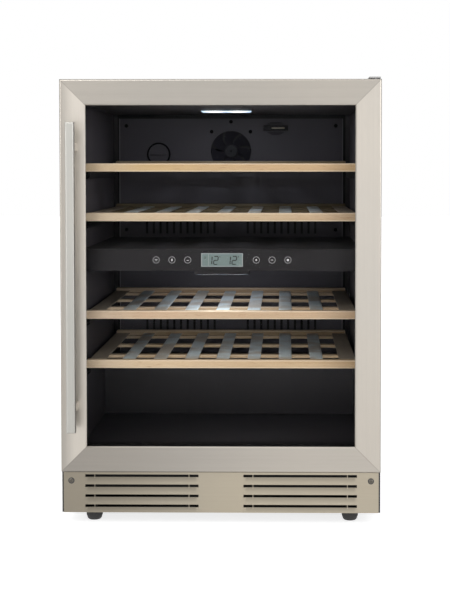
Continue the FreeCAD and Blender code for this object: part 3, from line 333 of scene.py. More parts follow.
def screenGlass(name, s):
    # a reflective crystal display, with its faint column pattern and a soft vignette
    f = Finish(name)
    x = f.axes(f.spot)[0]
    rows = f.noise(1500, (1, 1, 0.2), 1.0, 0.4)
    haze = f.noise(40, even, 2.0, 0.5)
    rim = f.band(abs(x), 0.030, 0.039)
    colour = f.blend(haze * 0.7 + rim * 0.3, s["middle"], s["edge"])
    colour = f.blend(f.band(rows, 0.5, 0.7) * 0.12, colour, s["line"])
    return f.show(f.principled({
        "Base Color": colour, "Roughness": 0.22 + haze * 0.08, "Emission Color": colour,
        "Emission Strength": s["glow"], "Coat Weight": 0.4, "Coat Roughness": 0.08,
        "Normal": f.bump(rows, 0.00004, 0.3)}))


def tube(name, s):
    # drawn tube or fin stock, with draw lines and tarnish
    f = Finish(name)
    stain = f.noise(30, even, 5.0, 0.65)
    lines = f.noise(700, (1, 0.05, 1), 2.0, 0.5)
    colour = f.blend(f.band(stain, 0.4, 0.7), s["bright"], s["dull"])
    colour = f.blend(lines * 0.2, colour, s["dull"])
    rough = s["rough"] + f.band(stain, 0.4, 0.7) * 0.2
    return f.show(f.principled({
        "Base Color": colour, "Metallic": 1.0, "Roughness": rough,
        "Normal": f.bump(lines * 0.5 + stain * 0.5, 0.0001, 0.4)}))


def etchedBoard(name, s):
    # solder resist over copper tracks
    f = Finish(name)
    tracks = f.band(f.cells(160, even, "Distance"), 0.1, 0.16)
    dust = f.noise(25, even, 4.0, 0.6)
    colour = f.blend(tracks, s["track"], s["resist"])
    colour = f.blend(f.band(dust, 0.5, 0.8) * 0.3, colour, s["dust"])
    return f.show(f.principled({
        "Base Color": colour, "Roughness": 0.3 + dust * 0.25,
        "Normal": f.bump(tracks, 0.00008, 0.6)}))


def foamed(name, s):
    # rigid foam skin with blown cells
    f = Finish(name)
    cells = f.cells(s["cell"], even, "Distance")
    patch = f.noise(6, even, 4.0, 0.6)
    colour = f.blend(patch, s["light"], s["dark"])
    colour = f.blend(f.band(cells, 0.5, 0.1) * 0.3, colour, s["dark"])
    return f.show(f.principled({
        "Base Color": colour, "Roughness": 0.75 + (patch - 0.5) * 0.2,
        "Normal": f.bump(cells, 0.0006, 0.6)}))


# brushed steel
steel = {
    "grain": 2600, "smear": 0.012, "patch": 3.2, "contrast": 0.14, "metal": 1.0,
    "cool": (0.60, 0.565, 0.515), "warm": (0.64, 0.585, 0.515),
    "rough": 0.34, "roughSpread": 0.14, "relief": 0.00005}
mitres = (0.2495, 0.784, 0.150)
# painted shade and reflection: the stiles darker toward the bottom, a touch toward the right, and at both
# outer edges
stileSteel = brushed("satinSteelUpright", {
    **steel, "along": 2, "seam": mitres,
    "tones": ((2, 0.10, 0.80, 0.74, 1.0), (0, -0.28, 0.28, 1.0, 0.96), (0, -0.302, -0.268, 0.62, 1.0),
              (0, 0.2950, 0.2970, 1.0, 0.50))})
# painted shade and reflection: the top rail darker, most toward the left, with a darker line along its top
# edge
railSteel = brushed("satinSteelAcross", {
    **steel, "along": 0, "seam": mitres,
    "tones": ((0, -0.30, 0.30, 0.68, 0.745), (2, 0.8296, 0.8316, 1.0, 0.60))})
# painted shade and reflection: the sill darker, most toward the left
sillSteel = brushed("satinSteelSill", {
    **steel, "along": 0, "seam": mitres, "tones": ((0, -0.30, 0.20, 0.40, 0.63),)})
# painted shade: a darker copy of the door's steel, darker still toward the left and up each louvre lip
plinthSteel = brushed("satinSteelPlinth", {
    **steel, "along": 0, "cool": (0.50, 0.45, 0.365), "warm": (0.53, 0.465, 0.36), "rough": 0.38,
    "hollow": 0.34, "tones": ((0, -0.30, 0.05, 0.45, 0.72),)})
# painted shade: a darker copy of the door's steel, darker toward the bottom
handleSteel = brushed("satinSteelHandle", {
    **steel, "along": 2, "cool": (0.425, 0.42, 0.392), "warm": (0.447, 0.434, 0.403), "rough": 0.42,
    "tones": ((2, 0.18, 0.75, 0.86, 1.0),)})
postSteel = brushed("satinSteelPost", {**steel, "along": 1, "cool": (0.50, 0.49, 0.46)})
hingeSteel = brushed("hingeSteel", {
    **steel, "along": 1, "grain": 1500, "cool": (0.36, 0.36, 0.36), "warm": (0.42, 0.41, 0.40),
    "rough": 0.42})
screwSteel = brushed("screwSteel", {
    **steel, "along": 0, "grain": 5000, "smear": 0.2, "cool": (0.5, 0.48, 0.45),
    "warm": (0.62, 0.6, 0.56), "rough": 0.28})
screwDark = brushed("screwDark", {
    **steel, "along": 0, "grain": 5000, "smear": 0.2, "cool": (0.08, 0.07, 0.06),
    "warm": (0.15, 0.14, 0.12), "rough": 0.3})
flangeSteel = brushed("flangeSteel", {
    **steel, "along": 1, "cool": (0.42, 0.36, 0.28), "warm": (0.52, 0.43, 0.32), "rough": 0.5,
    "patch": 30.0, "contrast": 0.5, "metal": 0.4})
# painted shade and reflection: the slats darker toward the back and toward the middle, their bluish-white
# patches a painted reflection of the lamps
slatSteel = brushed("slatSteel", {
    **steel, "along": 1, "cool": (0.90, 1.0, 1.0), "warm": (0.72, 0.63, 0.51), "split": (0.40, 0.62),
    "rough": 0.42, "patch": 13.0, "contrast": 0.25, "metal": 0.3,
    "tones": ((1, -0.19, 0.10, 1.0, 0.76), (0, -0.20, -0.06, 1.12, 0.90), (0, 0.06, 0.20, 0.90, 1.12))})
spacerMetal = brushed("spacerMetal", {
    **steel, "along": 0, "grain": 3000, "cool": (0.03, 0.03, 0.032), "warm": (0.05, 0.05, 0.05),
    "rough": 0.42})

# painted and plated steel
blackSteel = painted("powderBlack", {
    "colour": (0.012, 0.012, 0.013), "shade": (0.02, 0.02, 0.021), "worn": (0.05, 0.05, 0.05),
    "peel": 420, "rough": 0.42, "coat": 0.03, "relief": 0.00022})
compressorPaint = painted("compressorPaint", {
    "colour": (0.010, 0.010, 0.011), "shade": (0.022, 0.021, 0.02), "worn": (0.07, 0.06, 0.05),
    "peel": 260, "rough": 0.28, "coat": 0.5, "relief": 0.0003})
zinc = zincPlated("zincSpangle", {
    "spangle": 190, "dark": (0.36, 0.37, 0.38), "light": (0.54, 0.55, 0.56),
    "bloom": (0.42, 0.42, 0.41), "rough": 0.42})
coldPaint = painted("coldPlatePaint", {
    "colour": (0.004, 0.004, 0.0045), "shade": (0.007, 0.007, 0.008), "worn": (0.03, 0.03, 0.03),
    "peel": 300, "rough": 0.55, "coat": 0.05, "relief": 0.0003})

# plastics, rubbers and inks
plastic = {
    "grain": 1400, "patch": 5.0, "scuff": 0.25, "relief": 0.00008, "gloss": 0.4, "roughSpread": 0.1}
# painted shade and sheen: a colour lighter than the black plastic for the walls' sheen, darkened toward the
# left, at the front edge, toward the floor and on the ceiling
linerPlastic = moulded("linerPlastic", {
    **plastic, "colour": (0.118, 0.108, 0.120), "shade": (0.147, 0.134, 0.148),
    "worn": (0.15, 0.14, 0.152), "rough": 0.42, "roughSpread": 0.2, "duct": (0.2535, 0.2510, 0.262),
    "tones": ((0, -0.25, 0.25, 0.62, 1.0), (1, -0.222, -0.165, 0.20, 1.0),
              (2, 0.09, 0.50, 0.20, 1.0), (2, 0.779, 0.7845, 1.0, 0.50))})
panel = {
    **plastic, "colour": (0.071, 0.066, 0.078), "shade": (0.083, 0.077, 0.090),
    "worn": (0.095, 0.089, 0.10), "patch": 3.0, "rough": 0.55, "roughSpread": 0.15, "grain": 1100,
    "relief": 0.00012}
panelPlastic = moulded("panelPlastic", panel)
# painted highlight along the air panels' side edges
airPanelPlastic = moulded("airPanelPlastic", {**panel, "edge": 0.2462, "rubbed": (0.26, 0.25, 0.27)})
fanPlastic = moulded("fanPlastic", {
    **plastic, "colour": (0.010, 0.0095, 0.0115), "shade": (0.013, 0.0125, 0.015),
    "worn": (0.03, 0.03, 0.035), "rough": 0.5, "roughSpread": 0.15})
fasciaPlastic = moulded("fasciaPlastic", {
    **plastic, "colour": (0.0062, 0.0045, 0.0056), "shade": (0.0072, 0.0055, 0.0067),
    "worn": (0.03, 0.03, 0.03), "rough": 0.4, "patch": 8.0, "gloss": 0.34, "scuff": 0.1})
hubPlastic = moulded("hubPlastic", {
    **plastic, "colour": (0.019, 0.019, 0.023), "shade": (0.027, 0.027, 0.032),
    "worn": (0.04, 0.04, 0.045), "rough": 0.5, "roughSpread": 0.15, "gloss": 0.25})
shadowPlastic = moulded("shadowPlastic", {
    **plastic, "colour": (0.0038, 0.0036, 0.0047), "shade": (0.0052, 0.0049, 0.0062),
    "worn": (0.012, 0.012, 0.012), "rough": 0.85, "gloss": 0.05})
bladePlastic = moulded("bladePlastic", {
    **plastic, "colour": (0.026, 0.0245, 0.032), "shade": (0.032, 0.030, 0.039),
    "worn": (0.04, 0.04, 0.047), "rough": 0.8, "gloss": 0.1})
railPlastic = moulded("railPlastic", {
    **plastic, "colour": (0.012, 0.012, 0.012), "shade": (0.02, 0.02, 0.02), "worn": (0.06, 0.06, 0.06),
    "rough": 0.45, "roughSpread": 0.2})
rubber = moulded("sealRubber", {
    **plastic, "colour": (0.016, 0.016, 0.017), "shade": (0.024, 0.024, 0.024),
    "worn": (0.06, 0.058, 0.055), "rough": 0.62, "roughSpread": 0.2, "grain": 700, "relief": 0.0002})
footRubber = moulded("footRubber", {
    **plastic, "colour": (0.013, 0.013, 0.013), "shade": (0.022, 0.021, 0.020),
    "worn": (0.09, 0.085, 0.08), "rough": 0.48, "roughSpread": 0.2, "grain": 520, "relief": 0.0002,
    "scuff": 0.5})
keyInk = moulded("keyInk", {
    **plastic, "colour": (0.74, 0.74, 0.75), "shade": (0.84, 0.84, 0.85), "worn": (0.6, 0.6, 0.6),
    "rough": 0.4})
keyRing = moulded("keyRing", {
    **plastic, "colour": (0.36, 0.36, 0.365), "shade": (0.44, 0.44, 0.445), "worn": (0.3, 0.3, 0.3),
    "rough": 0.4})

# foam, copper, glass, light and wood
foam = foamed("blownFoam", {"cell": 900, "light": (0.55, 0.5, 0.36), "dark": (0.38, 0.33, 0.22)})
foamBlack = foamed("linedFoam", {
    "cell": 900, "light": (0.040, 0.037, 0.039), "dark": (0.028, 0.026, 0.027)})
board = etchedBoard("etchedBoard", {
    "track": (0.03, 0.14, 0.06), "resist": (0.01, 0.07, 0.03), "dust": (0.2, 0.2, 0.18)})
copper = tube("copperTube", {"bright": (0.72, 0.36, 0.22), "dull": (0.42, 0.2, 0.12), "rough": 0.3})
aluminium = tube("rolledAluminium", {
    "bright": (0.72, 0.73, 0.74), "dull": (0.5, 0.51, 0.52), "rough": 0.34})
glass = paneGlass("coatedGlass", {
    "tint": (0.02, 0.022, 0.024), "through": (0.972, 0.972, 0.973), "coating": 1.10, "film": 0.006})
lampGlow = glowing("lampDiffuser", {
    "lampGap": 0.024, "lampSpread": 0.026, "edge": (0.30, 0.42, 0.55), "middle": (0.95, 0.99, 1.0),
    "body": (0.7, 0.74, 0.76), "power": 1.7})
screen = screenGlass("crystalScreen", {
    "middle": (0.120, 0.164, 0.155), "edge": (0.158, 0.206, 0.195), "line": (0.16, 0.2, 0.19),
    "glow": 0.2})
# painted glow: the silver rim is given a faint emission, though it is no lamp
rimSilver = screenGlass("screenRim", {
    "middle": (0.23, 0.27, 0.265), "edge": (0.28, 0.31, 0.305), "line": (0.25, 0.3, 0.29),
    "glow": 0.18})
digitInk = moulded("digitInk", {
    **plastic, "colour": (0.014, 0.022, 0.020), "shade": (0.022, 0.033, 0.030),
    "worn": (0.05, 0.06, 0.06), "rough": 0.35})
# painted light and shade: the arrises and the rails' left ends are painted paler, the wood behind the front
# rail painted darker
wood = {
    "light": (0.635, 0.47, 0.31), "dark": (0.515, 0.345, 0.19), "blush": (0.60, 0.40, 0.26),
    "vein": (0.40, 0.23, 0.12), "pale": (0.92, 0.76, 0.56), "arris": 0.65, "leftEndLight": -0.14,
    "innerFrom": -0.188, "oiled": 0.22, "oil": (0.10, 0.075, 0.035)}
woods = [
    beech("beechGolden", {**wood, "light": (0.68, 0.50, 0.26), "dark": (0.545, 0.37, 0.165)}),
    beech("beechPale", {**wood, "oiled": 0.90, "light": (0.635, 0.505, 0.335), "dark": (0.525, 0.38, 0.22)}),
    beech("beechRosy", wood),
    beech("beechHoney", {**wood, "light": (0.665, 0.505, 0.32), "dark": (0.55, 0.38, 0.205)})]
print("finishes made:", len(bpy.data.materials))


# ---- floor, air and lamps of the studio
studio = {"floorSize": 30.0, "floorTone": (0.50, 0.50, 0.50), "dim": 0.50, "bright": 1.12, "glow": 0.78}
bpy.ops.mesh.primitive_grid_add(x_subdivisions=8, y_subdivisions=8, size=studio["floorSize"])
floor = bpy.context.object
floor.name = "studioFloor"
paper = Finish("paperFloor")
fibres = paper.noise(60, even, 4.0, 0.6)
floor.data.materials.append(paper.show(paper.principled({
    "Base Color": paper.blend(fibres, studio["floorTone"], (0.47, 0.47, 0.47)), "Roughness": 0.8,
    "Specular IOR Level": 0.1, "Emission Color": (1.0, 1.0, 1.0), "Emission Strength": studio["glow"]})))

air = bpy.data.worlds.new("studioAir")
air.use_nodes = True
scene.world = air
sky = Wiring(air.node_tree)
heading = sky.axes(sky.node("ShaderNodeTexCoord", out="Generated"))
sideways = sky.band(heading[0], -0.34, 0.26)
lift = sky.band(heading[2], -0.3, 0.5)
behind = sky.band(heading[1], -0.1, 0.4)
front = sideways * 0.8 + lift * 0.2
level = sky.band(front * (1.0 - behind) + behind * 0.35, 0.0, 1.0, studio["dim"], studio["bright"])
seen = sky.node("ShaderNodeLightPath", out="Is Camera Ray")
strength = level * (1.0 - seen) + seen
backdrop = air.node_tree.nodes["Background"]
plug(air.node_tree, backdrop.inputs["Color"], (1.0, 1.0, 1.0))
plug(air.node_tree, backdrop.inputs["Strength"], strength)


def lamp(name, place, toward, size, power, colour=even):
    # an oblong area light facing a point
    bulb = bpy.data.objects.new(name, bpy.data.lights.new(name, "AREA"))
    bulb.data.shape = "RECTANGLE"
    bulb.data.size, bulb.data.size_y = size
    bulb.data.energy = power
    bulb.data.color = colour
    bulb.location = place
    bulb.rotation_euler = (Vector(toward) - Vector(place)).to_track_quat("-Z", "Y").to_euler()
    scene.collection.objects.link(bulb)


lampHigh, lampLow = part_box("lamps")[1].z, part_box("lamps")[0].z
lamp("softboxRight", (2.5, -2.7, 1.5), (0, 0, 0.45), (1.6, 2.2), 34)
lamp("softboxLeft", (-2.6, -2.7, 1.3), (0, 0, 0.45), (1.6, 2.2), 44)
lamp("softboxHigh", (-1.0, -3.0, 2.3), (-0.2, 0, 0.45), (0.9, 0.9), 22)
lamp("softboxTop", (-0.6, -1.4, 3.2), (0, 0, 0.4), (2.5, 2.0), 26)
lamp("softboxRear", (-1.8, 2.8, 2.2), (0, 0, 0.45), (2.0, 2.0), 12)
lamp("upperLed", (0, -0.005, lampHigh - 0.0065), (0, -0.005, 0), (0.098, 0.024), 0.28, (0.86, 0.90, 1.0))
lamp("lowerLed", (0, -0.187, lampLow - 0.0015), (0, -0.187, 0), (0.098, 0.024), 0.085, (0.82, 0.92, 1.0))
lamp("lowerSpill", (0, 0.02, lampLow - 0.001), (0, 0.02, 0), (0.22, 0.30), 0.18, (0.86, 0.90, 1.0))
print("studio lit")


# ---- making tools
def meshOf(name, verts, faces):
    mesh = bpy.data.meshes.new(name)
    mesh.from_pydata([tuple(v) for v in verts], [], faces)
    mesh.update()
    return mesh


def placed(name, mesh):
    thing = bpy.data.objects.new(name, mesh)
    scene.collection.objects.link(thing)
    return thing


def outward(thing):
    work = bmesh.new()
    work.from_mesh(thing.data)
    bmesh.ops.remove_doubles(work, verts=work.verts, dist=1e-6)
    bmesh.ops.recalc_face_normals(work, faces=work.faces)
    work.to_mesh(thing.data)
    work.free()
    return thing


def settled(thing):
    # the mesh with its modifiers in it, as a plain object
    graph = bpy.context.evaluated_depsgraph_get()
    mesh = bpy.data.meshes.new_from_object(thing.evaluated_get(graph), depsgraph=graph)
    name = thing.name
    bpy.data.objects.remove(thing)
    mesh.name = name
    return placed(name, mesh)


def walled(thing, thick, offset=-1.0):
    # a thickness for an open sheet, taken in once the piece is settled
    wall = thing.modifiers.new("wall", "SOLIDIFY")
    wall.thickness, wall.offset = thick, offset


def gridFaces(rows, columns):
    return [(k * columns + j, k * columns + j + 1, (k + 1) * columns + j + 1, (k + 1) * columns + j)
            for k in range(rows - 1) for j in range(columns - 1)]


def block(work, low, high, soft, steps):
    # a bar with its edges rounded over, added to a bmesh
    made = bmesh.ops.create_cube(work, size=1.0)["verts"]
    size = [b - a for a, b in zip(low, high)]
    middle = [(a + b) / 2 for a, b in zip(low, high)]
    bmesh.ops.scale(work, vec=size, verts=made)
    bmesh.ops.translate(work, vec=middle, verts=made)
    edges = list({edge for vert in made for edge in vert.link_edges})
    bmesh.ops.bevel(work, geom=edges, offset=soft, segments=steps, profile=0.5, affect="EDGES")


def blocks(name, bars):
    work = bmesh.new()
    for bar in bars:
        block(work, *bar)
    mesh = bpy.data.meshes.new(name)
    work.to_mesh(mesh)
    work.free()
    return placed(name, mesh)


def turned(name, profile, centre, axis=(0, 0, 1), steps=48):
    # profile is radius and height pairs, spun round an axis through the centre
    verts, faces = [], []
    turn = Vector((0, 0, 1)).rotation_difference(Vector(axis)).to_matrix()
    for step in range(steps):
        angle = 2 * math.pi * step / steps
        for radius, height in profile:
            point = Vector((radius * math.cos(angle), radius * math.sin(angle), height))
            verts.append(turn @ point + Vector(centre))
    count = len(profile)
    for step in range(steps):
        after = (step + 1) % steps
        for k in range(count - 1):
            faces.append((step * count + k, after * count + k, after * count + k + 1, step * count + k + 1))
    return outward(placed(name, meshOf(name, verts, faces)))


def swept(name, profile, length, axis, start=0.0):
    # a closed outline drawn along one axis, with both ends shut
    others = [k for k in range(3) if k != axis]
    verts = []
    for end in (start, start + length):
        for first, second in profile:
            point = [0.0, 0.0, 0.0]
            point[axis], point[others[0]], point[others[1]] = end, first, second
            verts.append(point)
    count = len(profile)
    faces = [(k, (k + 1) % count, count + (k + 1) % count, count + k) for k in range(count)]
    faces += [tuple(range(count - 1, -1, -1)), tuple(range(count, 2 * count))]
    return outward(placed(name, meshOf(name, verts, faces)))


def together(name, things):
    # several plain objects made into one
    work = bmesh.new()
    for thing in things:
        work.from_mesh(thing.data)
        bpy.data.objects.remove(thing)
    mesh = bpy.data.meshes.new(name)
    work.to_mesh(mesh)
    work.free()
    return placed(name, mesh)


def coated(thing, material):
    thing.data.materials.clear()
    thing.data.materials.append(material)
    for face in thing.data.polygons:
        face.material_index = 0
    return thing


def hand(thing, body, nodes=(), angle=32):
    # last step for a piece: shading, its body and what it stands for
    for face in thing.data.polygons:
        face.use_smooth = True
    thing.data.set_sharp_from_angle(angle=math.radians(angle))
    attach(thing, body)
    if nodes:
        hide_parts(*nodes)


class Recipe(Wiring):
    # a geometry node tree with named inputs
    kinds = ((bool, "NodeSocketBool"), (int, "NodeSocketInt"), (float, "NodeSocketFloat"),
             (tuple, "NodeSocketVector"), (bpy.types.Object, "NodeSocketObject"),
             (bpy.types.Material, "NodeSocketMaterial"))

    def __init__(self, name, inputs):
        super().__init__(bpy.data.node_groups.new(name, "GeometryNodeTree"))
        face = self.tree.interface
        face.new_socket("Geometry", in_out="OUTPUT", socket_type="NodeSocketGeometry")
        self.keys = {}
        for label, value in inputs.items():
            kind = next(socket for sort, socket in self.kinds if isinstance(value, sort))
            made = face.new_socket(label, in_out="INPUT", socket_type=kind)
            self.keys[label] = made.identifier
            if not isinstance(value, (bpy.types.Object, bpy.types.Material)):
                made.default_value = value
        self.entry = self.tree.nodes.new("NodeGroupInput")
        self.exit = self.tree.nodes.new("NodeGroupOutput")

    def given(self, label):
        return Num(self.tree, self.entry.outputs[label])

    def shape(self, label):
        return self.node("GeometryNodeObjectInfo", None, {"Object": self.given(label)}, out="Geometry")

    def close(self, geometry):
        real = self.node("GeometryNodeRealizeInstances", None, {0: geometry})
        done = self.node("GeometryNodeSetMaterial", None, {
            "Geometry": real, "Material": self.given("Finish")})
        self.tree.links.new(done.socket, self.exit.inputs[0])
        return self

    def make(self, name, values):
        holder = placed(name, bpy.data.meshes.new(name))
        modifier = holder.modifiers.new("recipe", "NODES")
        modifier.node_group = self.tree
        for label, value in values.items():
            modifier[self.keys[label]] = value
        result = settled(holder)
        for value in values.values():
            if isinstance(value, bpy.types.Object):
                bpy.data.objects.remove(value)
        return result


def rowTree(like, finish):
    # copies of one shape in a row
    r = Recipe("rowOfPieces", {"Shape": like, "Count": 2, "Start": (0.0, 0.0, 0.0),
                               "Step": (0.0, 0.0, 0.0), "Finish": finish})
    line = r.node("GeometryNodeMeshLine", None, {
        "Count": r.given("Count"), "Start Location": r.given("Start"), "Offset": r.given("Step")})
    return r.close(r.node("GeometryNodeInstanceOnPoints", None, {
        "Points": line, "Instance": r.shape("Shape")}))


def wheelTree(like, finish):
    # copies of one shape spread evenly round an axis along Z, then stood at the centre
    r = Recipe("wheelOfPieces", {"Shape": like, "Count": 2, "Centre": (0.0, 0.0, 0.0),
                                 "Turn": (0.0, 0.0, 0.0), "Finish": finish})
    line = r.node("GeometryNodeMeshLine", None, {"Count": r.given("Count"), "Offset": (0.0, 0.0, 0.0)})
    index = r.node("GeometryNodeInputIndex")
    angle = index * (2 * math.pi) / r.given("Count")
    spin = r.node("ShaderNodeCombineXYZ", None, {"Z": angle})
    wheel = r.node("GeometryNodeInstanceOnPoints", None, {
        "Points": line, "Instance": r.shape("Shape"), "Rotation": spin})
    real = r.node("GeometryNodeRealizeInstances", None, {0: wheel})
    return r.close(r.node("GeometryNodeTransform", None, {
        "Geometry": real, "Translation": r.given("Centre"), "Rotation": r.given("Turn")}))


def spotTree(like, finish):
    # one shape at every marked spot, facing the front, each twisted by its own amount
    r = Recipe("screwsAtSpots", {"Shape": like, "Spots": like, "Facing": (0.0, 0.0, 0.0),
                                 "Seed": 1, "Finish": finish})
    twist = r.node("FunctionNodeRandomValue", {"data_type": "FLOAT"}, {
        "Min": 0.0, "Max": 6.283, "Seed": r.given("Seed")}, out=1)
    spin = r.node("ShaderNodeCombineXYZ", None, {"Z": twist})
    turn = r.node("FunctionNodeEulerToRotation", None, {0: spin})
    face = r.node("FunctionNodeEulerToRotation", None, {0: r.given("Facing")})
    both = r.node("FunctionNodeRotateRotation", {"rotation_space": "LOCAL"}, {0: face, 1: turn})
    return r.close(r.node("GeometryNodeInstanceOnPoints", None, {
        "Points": r.shape("Spots"), "Instance": r.shape("Shape"), "Rotation": both}))


def marks(spots):
    mesh = bpy.data.meshes.new("marks")
    mesh.from_pydata([tuple(spot) for spot in spots], [], [])
    return placed("marks", mesh)


def row(name, shape, count, start, step, finish):
    return rowTree(shape, finish).make(name, {"Shape": shape, "Count": count, "Start": tuple(start),
                                              "Step": tuple(step), "Finish": finish})


def wheel(name, shape, count, centre, turn, finish):
    return wheelTree(shape, finish).make(name, {"Shape": shape, "Count": count, "Centre": tuple(centre),
                                                "Turn": tuple(turn), "Finish": finish})


def atSpots(name, shape, spots, facing, seed, finish):
    # one shape at a list of places
    return spotTree(shape, finish).make(name, {"Shape": shape, "Spots": marks(spots), "Facing": facing,
                                               "Seed": seed, "Finish": finish})


def screwHead(radius, proud):
    # a pan head with a cross recess, standing along Z with its seat at zero
    arm, dome, sunk = 0.62, 0.45, 0.35
    columns = []
    for quarter in range(4):
        for lean in (-19, -13, 13, 19, 45):
            columns.append((math.radians(90 * quarter + lean), abs(lean) <= 13))
    rings = [(0.16, 0), (0.24, 0), (arm, 0), (arm + 0.05, 1), (0.86, 1), (1.0, 2), (1.0, 3)]
    verts, faces = [(0.0, 0.0, proud * sunk)], []
    for ring, (share, zone) in enumerate(rings):
        for angle, inArm in columns:
            crown = proud * (1 - dome * share ** 3)
            height = {0: crown if not inArm and ring > 0 else proud * sunk, 1: crown,
                      2: proud * (0.75 - dome * 0.5), 3: 0.0}[zone]
            verts.append((radius * share * math.cos(angle), radius * share * math.sin(angle), height))
    count = len(columns)
    for k in range(count):
        after = (k + 1) % count
        faces.append((0, 1 + k, 1 + after))
        for ring in range(len(rings) - 1):
            base = 1 + ring * count
            faces.append((base + k, base + count + k, base + count + after, base + after))
    faces.append(tuple(1 + (len(rings) - 1) * count + k for k in range(count)))
    return outward(placed("screwHead", meshOf("screwHead", verts, faces)))


def screws(name, radius, proud, spots, facing, seed, finish=screwSteel):
    return atSpots(name, screwHead(radius, proud), spots, facing, seed, finish)


faceFront, faceBack = (math.pi / 2, 0.0, 0.0), (-math.pi / 2, 0.0, 0.0)

# ---- plinth: a sheet with two fields of pressed louvres
plinth = {"sheet": 0.0016, "arris": 0.0004, "windowNear": 0.042, "windowFar": 0.254, "firstTop": 0.00455,
          "pitch": 0.0189, "slot": 0.0050, "lip": 0.010, "lipThick": 0.0006, "lean": 0.0013, "rows": 4,
          "endEase": 0.006, "tab": 0.0014, "tabIn": 0.0178, "tabSunk": 0.0022}


def eased(t):
    return t * t * (3 - 2 * t)


def plinthSheet(s, windows):
    # a flat plate with two windows for every row of louvres
    low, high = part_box("kick_plate")
    near, far = s["windowNear"], s["windowFar"]
    xs = [low.x, -far, -near, near, far, high.x]
    zs = sorted({low.z, high.z, *[z for pair in windows for z in pair]})
    verts = [(x, low.y, z) for z in zs for x in xs]
    faces = []
    for face in gridFaces(len(zs), len(xs)):
        corners = [Vector(verts[k]) for k in face]
        middle = sum(corners, Vector()) / 4
        if not (near < abs(middle.x) < far and any(a < middle.z < b for a, b in windows)):
            faces.append(face)
    sheet = placed("plinthSheet", meshOf("plinthSheet", verts, faces))
    walled(sheet, s["sheet"])
    ease = sheet.modifiers.new("ease", "BEVEL")
    ease.width, ease.segments, ease.limit_method = s["arris"], 1, "ANGLE"
    return settled(sheet)


def louvreShape(s, long, front):
    # a pressed lip that leans in at its middle and eases into the sheet at both ends, with two tabs
    ends = [0.0, 0.15, 0.35, 0.6, 0.85, 1.0]
    left = [-long / 2 + s["endEase"] * e for e in ends]
    across = left + [-x for x in left[::-1]]
    depths = [eased(e) for e in ends + ends[::-1]]
    rise = [0.0, 0.08, 0.2, 0.4, 0.6, 0.8, 0.94, 1.0]
    verts = []
    for t in rise:
        curve = 0.55 * t + 0.45 * eased(t)
        for x, depth in zip(across, depths):
            verts.append((x, front + s["lean"] * curve * depth, s["lip"] * t))
    lip = placed("louvreLip", meshOf("louvreLip", verts, gridFaces(len(rise), len(across))))
    # painted shade: a value growing up the lip toward its slot, for the finish to darken
    layer = lip.data.attributes.new("hollow", "FLOAT", "POINT")
    layer.data.foreach_set("value", [max(0.0, t - 0.15) * depth for t in rise for depth in depths])
    walled(lip, s["lipThick"])
    lip = settled(lip)
    bars = []
    for side in (-1, 1):
        x = side * (long / 2 - s["tabIn"])
        bars.append(((x - s["tab"] / 2, front + 0.0003, s["lip"] - s["tabSunk"]),
                     (x + s["tab"] / 2, front + s["lean"], s["lip"] + s["slot"] + 0.0004), 0.0003, 1))
    return together("louvre", [lip, blocks("louvreTabs", bars)])


def plinthGrille(s):
    low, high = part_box("kick_plate")
    near, far = s["windowNear"], s["windowFar"]
    tops = [high.z - s["firstTop"] - s["pitch"] * k for k in range(s["rows"])]
    windows = [(top - s["slot"] - s["lip"], top) for top in tops]
    sheet = plinthSheet(s, windows)
    louvre = louvreShape(s, far - near, low.y)
    fields = []
    for side in (-1, 1):
        copy = placed("louvreCopy", louvre.data.copy())
        start = (side * (near + far) / 2, 0.0, windows[0][0])
        fields.append(row("louvreField", copy, s["rows"], start, (0.0, 0.0, -s["pitch"]), plinthSteel))
    bpy.data.objects.remove(louvre)
    piece = coated(together("plinthGrille", [sheet, *fields]), plinthSteel)
    hand(piece, "cabinet", ["kick_plate"])


plinthGrille(plinth)
print("plinth pressed")

# ---- screws on the plinth, the air panels and the back
fixing = {"plinthAcross": 0.280, "plinthDrop": 0.0163, "plinthHead": 0.0041, "plinthProud": 0.0016,
          "washer": 0.0058, "washerThick": 0.0005,
          "panelAcross": 0.232, "panelInset": 0.016, "panelHead": 0.004, "panelProud": 0.0015,
          "fanOut": 0.043, "fanHeight": 0.705, "topMiddle": 0.7700,
          "backHead": 0.0038, "backProud": 0.0018, "grilleAcross": (-0.285, -0.095, 0.095, 0.285),
          "grilleDown": 0.010, "grilleUp": 0.012, "sheetAcross": 0.287,
          "sheetHeights": (0.26, 0.45, 0.64, 0.815), "sheetTop": 0.822, "sheetTopAcross": 0.1}


def plinthWashers(s, spots):
    wide, thick = s["washer"], s["washerThick"]
    outline = [(0.0, 0.0), (wide, 0.0), (wide, thick * 0.6), (wide - 0.0004, thick), (0.0, thick)]
    washers = [turned("washer", outline, spot, (0, -1, 0), 32) for spot in spots]
    hand(coated(together("plinthWashers", washers), rubber), "cabinet")


def frontScrews(s):
    plate, upper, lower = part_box("kick_plate"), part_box("upper_air_panel"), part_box("lower_air_panel")
    onPlinth = [(side * s["plinthAcross"], plate[0].y, plate[1].z - s["plinthDrop"]) for side in (-1, 1)]
    face = upper[0].y
    rows = [upper[1].z - s["panelInset"], upper[0].z + s["panelInset"],
            lower[1].z - s["panelInset"], lower[0].z + s["panelInset"]]
    onPanels = [(side * s["panelAcross"], face, z) for z in rows for side in (-1, 1)]
    onPanels += [(a * s["fanOut"], face, s["fanHeight"] + b * s["fanOut"]) for a in (-1, 1) for b in (-1, 1)]
    onPanels.append((0.0, face, s["topMiddle"]))
    bright = screws("brightScrews", s["plinthHead"], s["plinthProud"], onPlinth, faceFront, 3, screwDark)
    plinthWashers(s, onPlinth)
    dark = screws("darkScrews", s["panelHead"], s["panelProud"], onPanels, faceFront, 8, shadowPlastic)
    for piece in (bright, dark):
        hand(piece, "cabinet", ["cabinet_screws"])


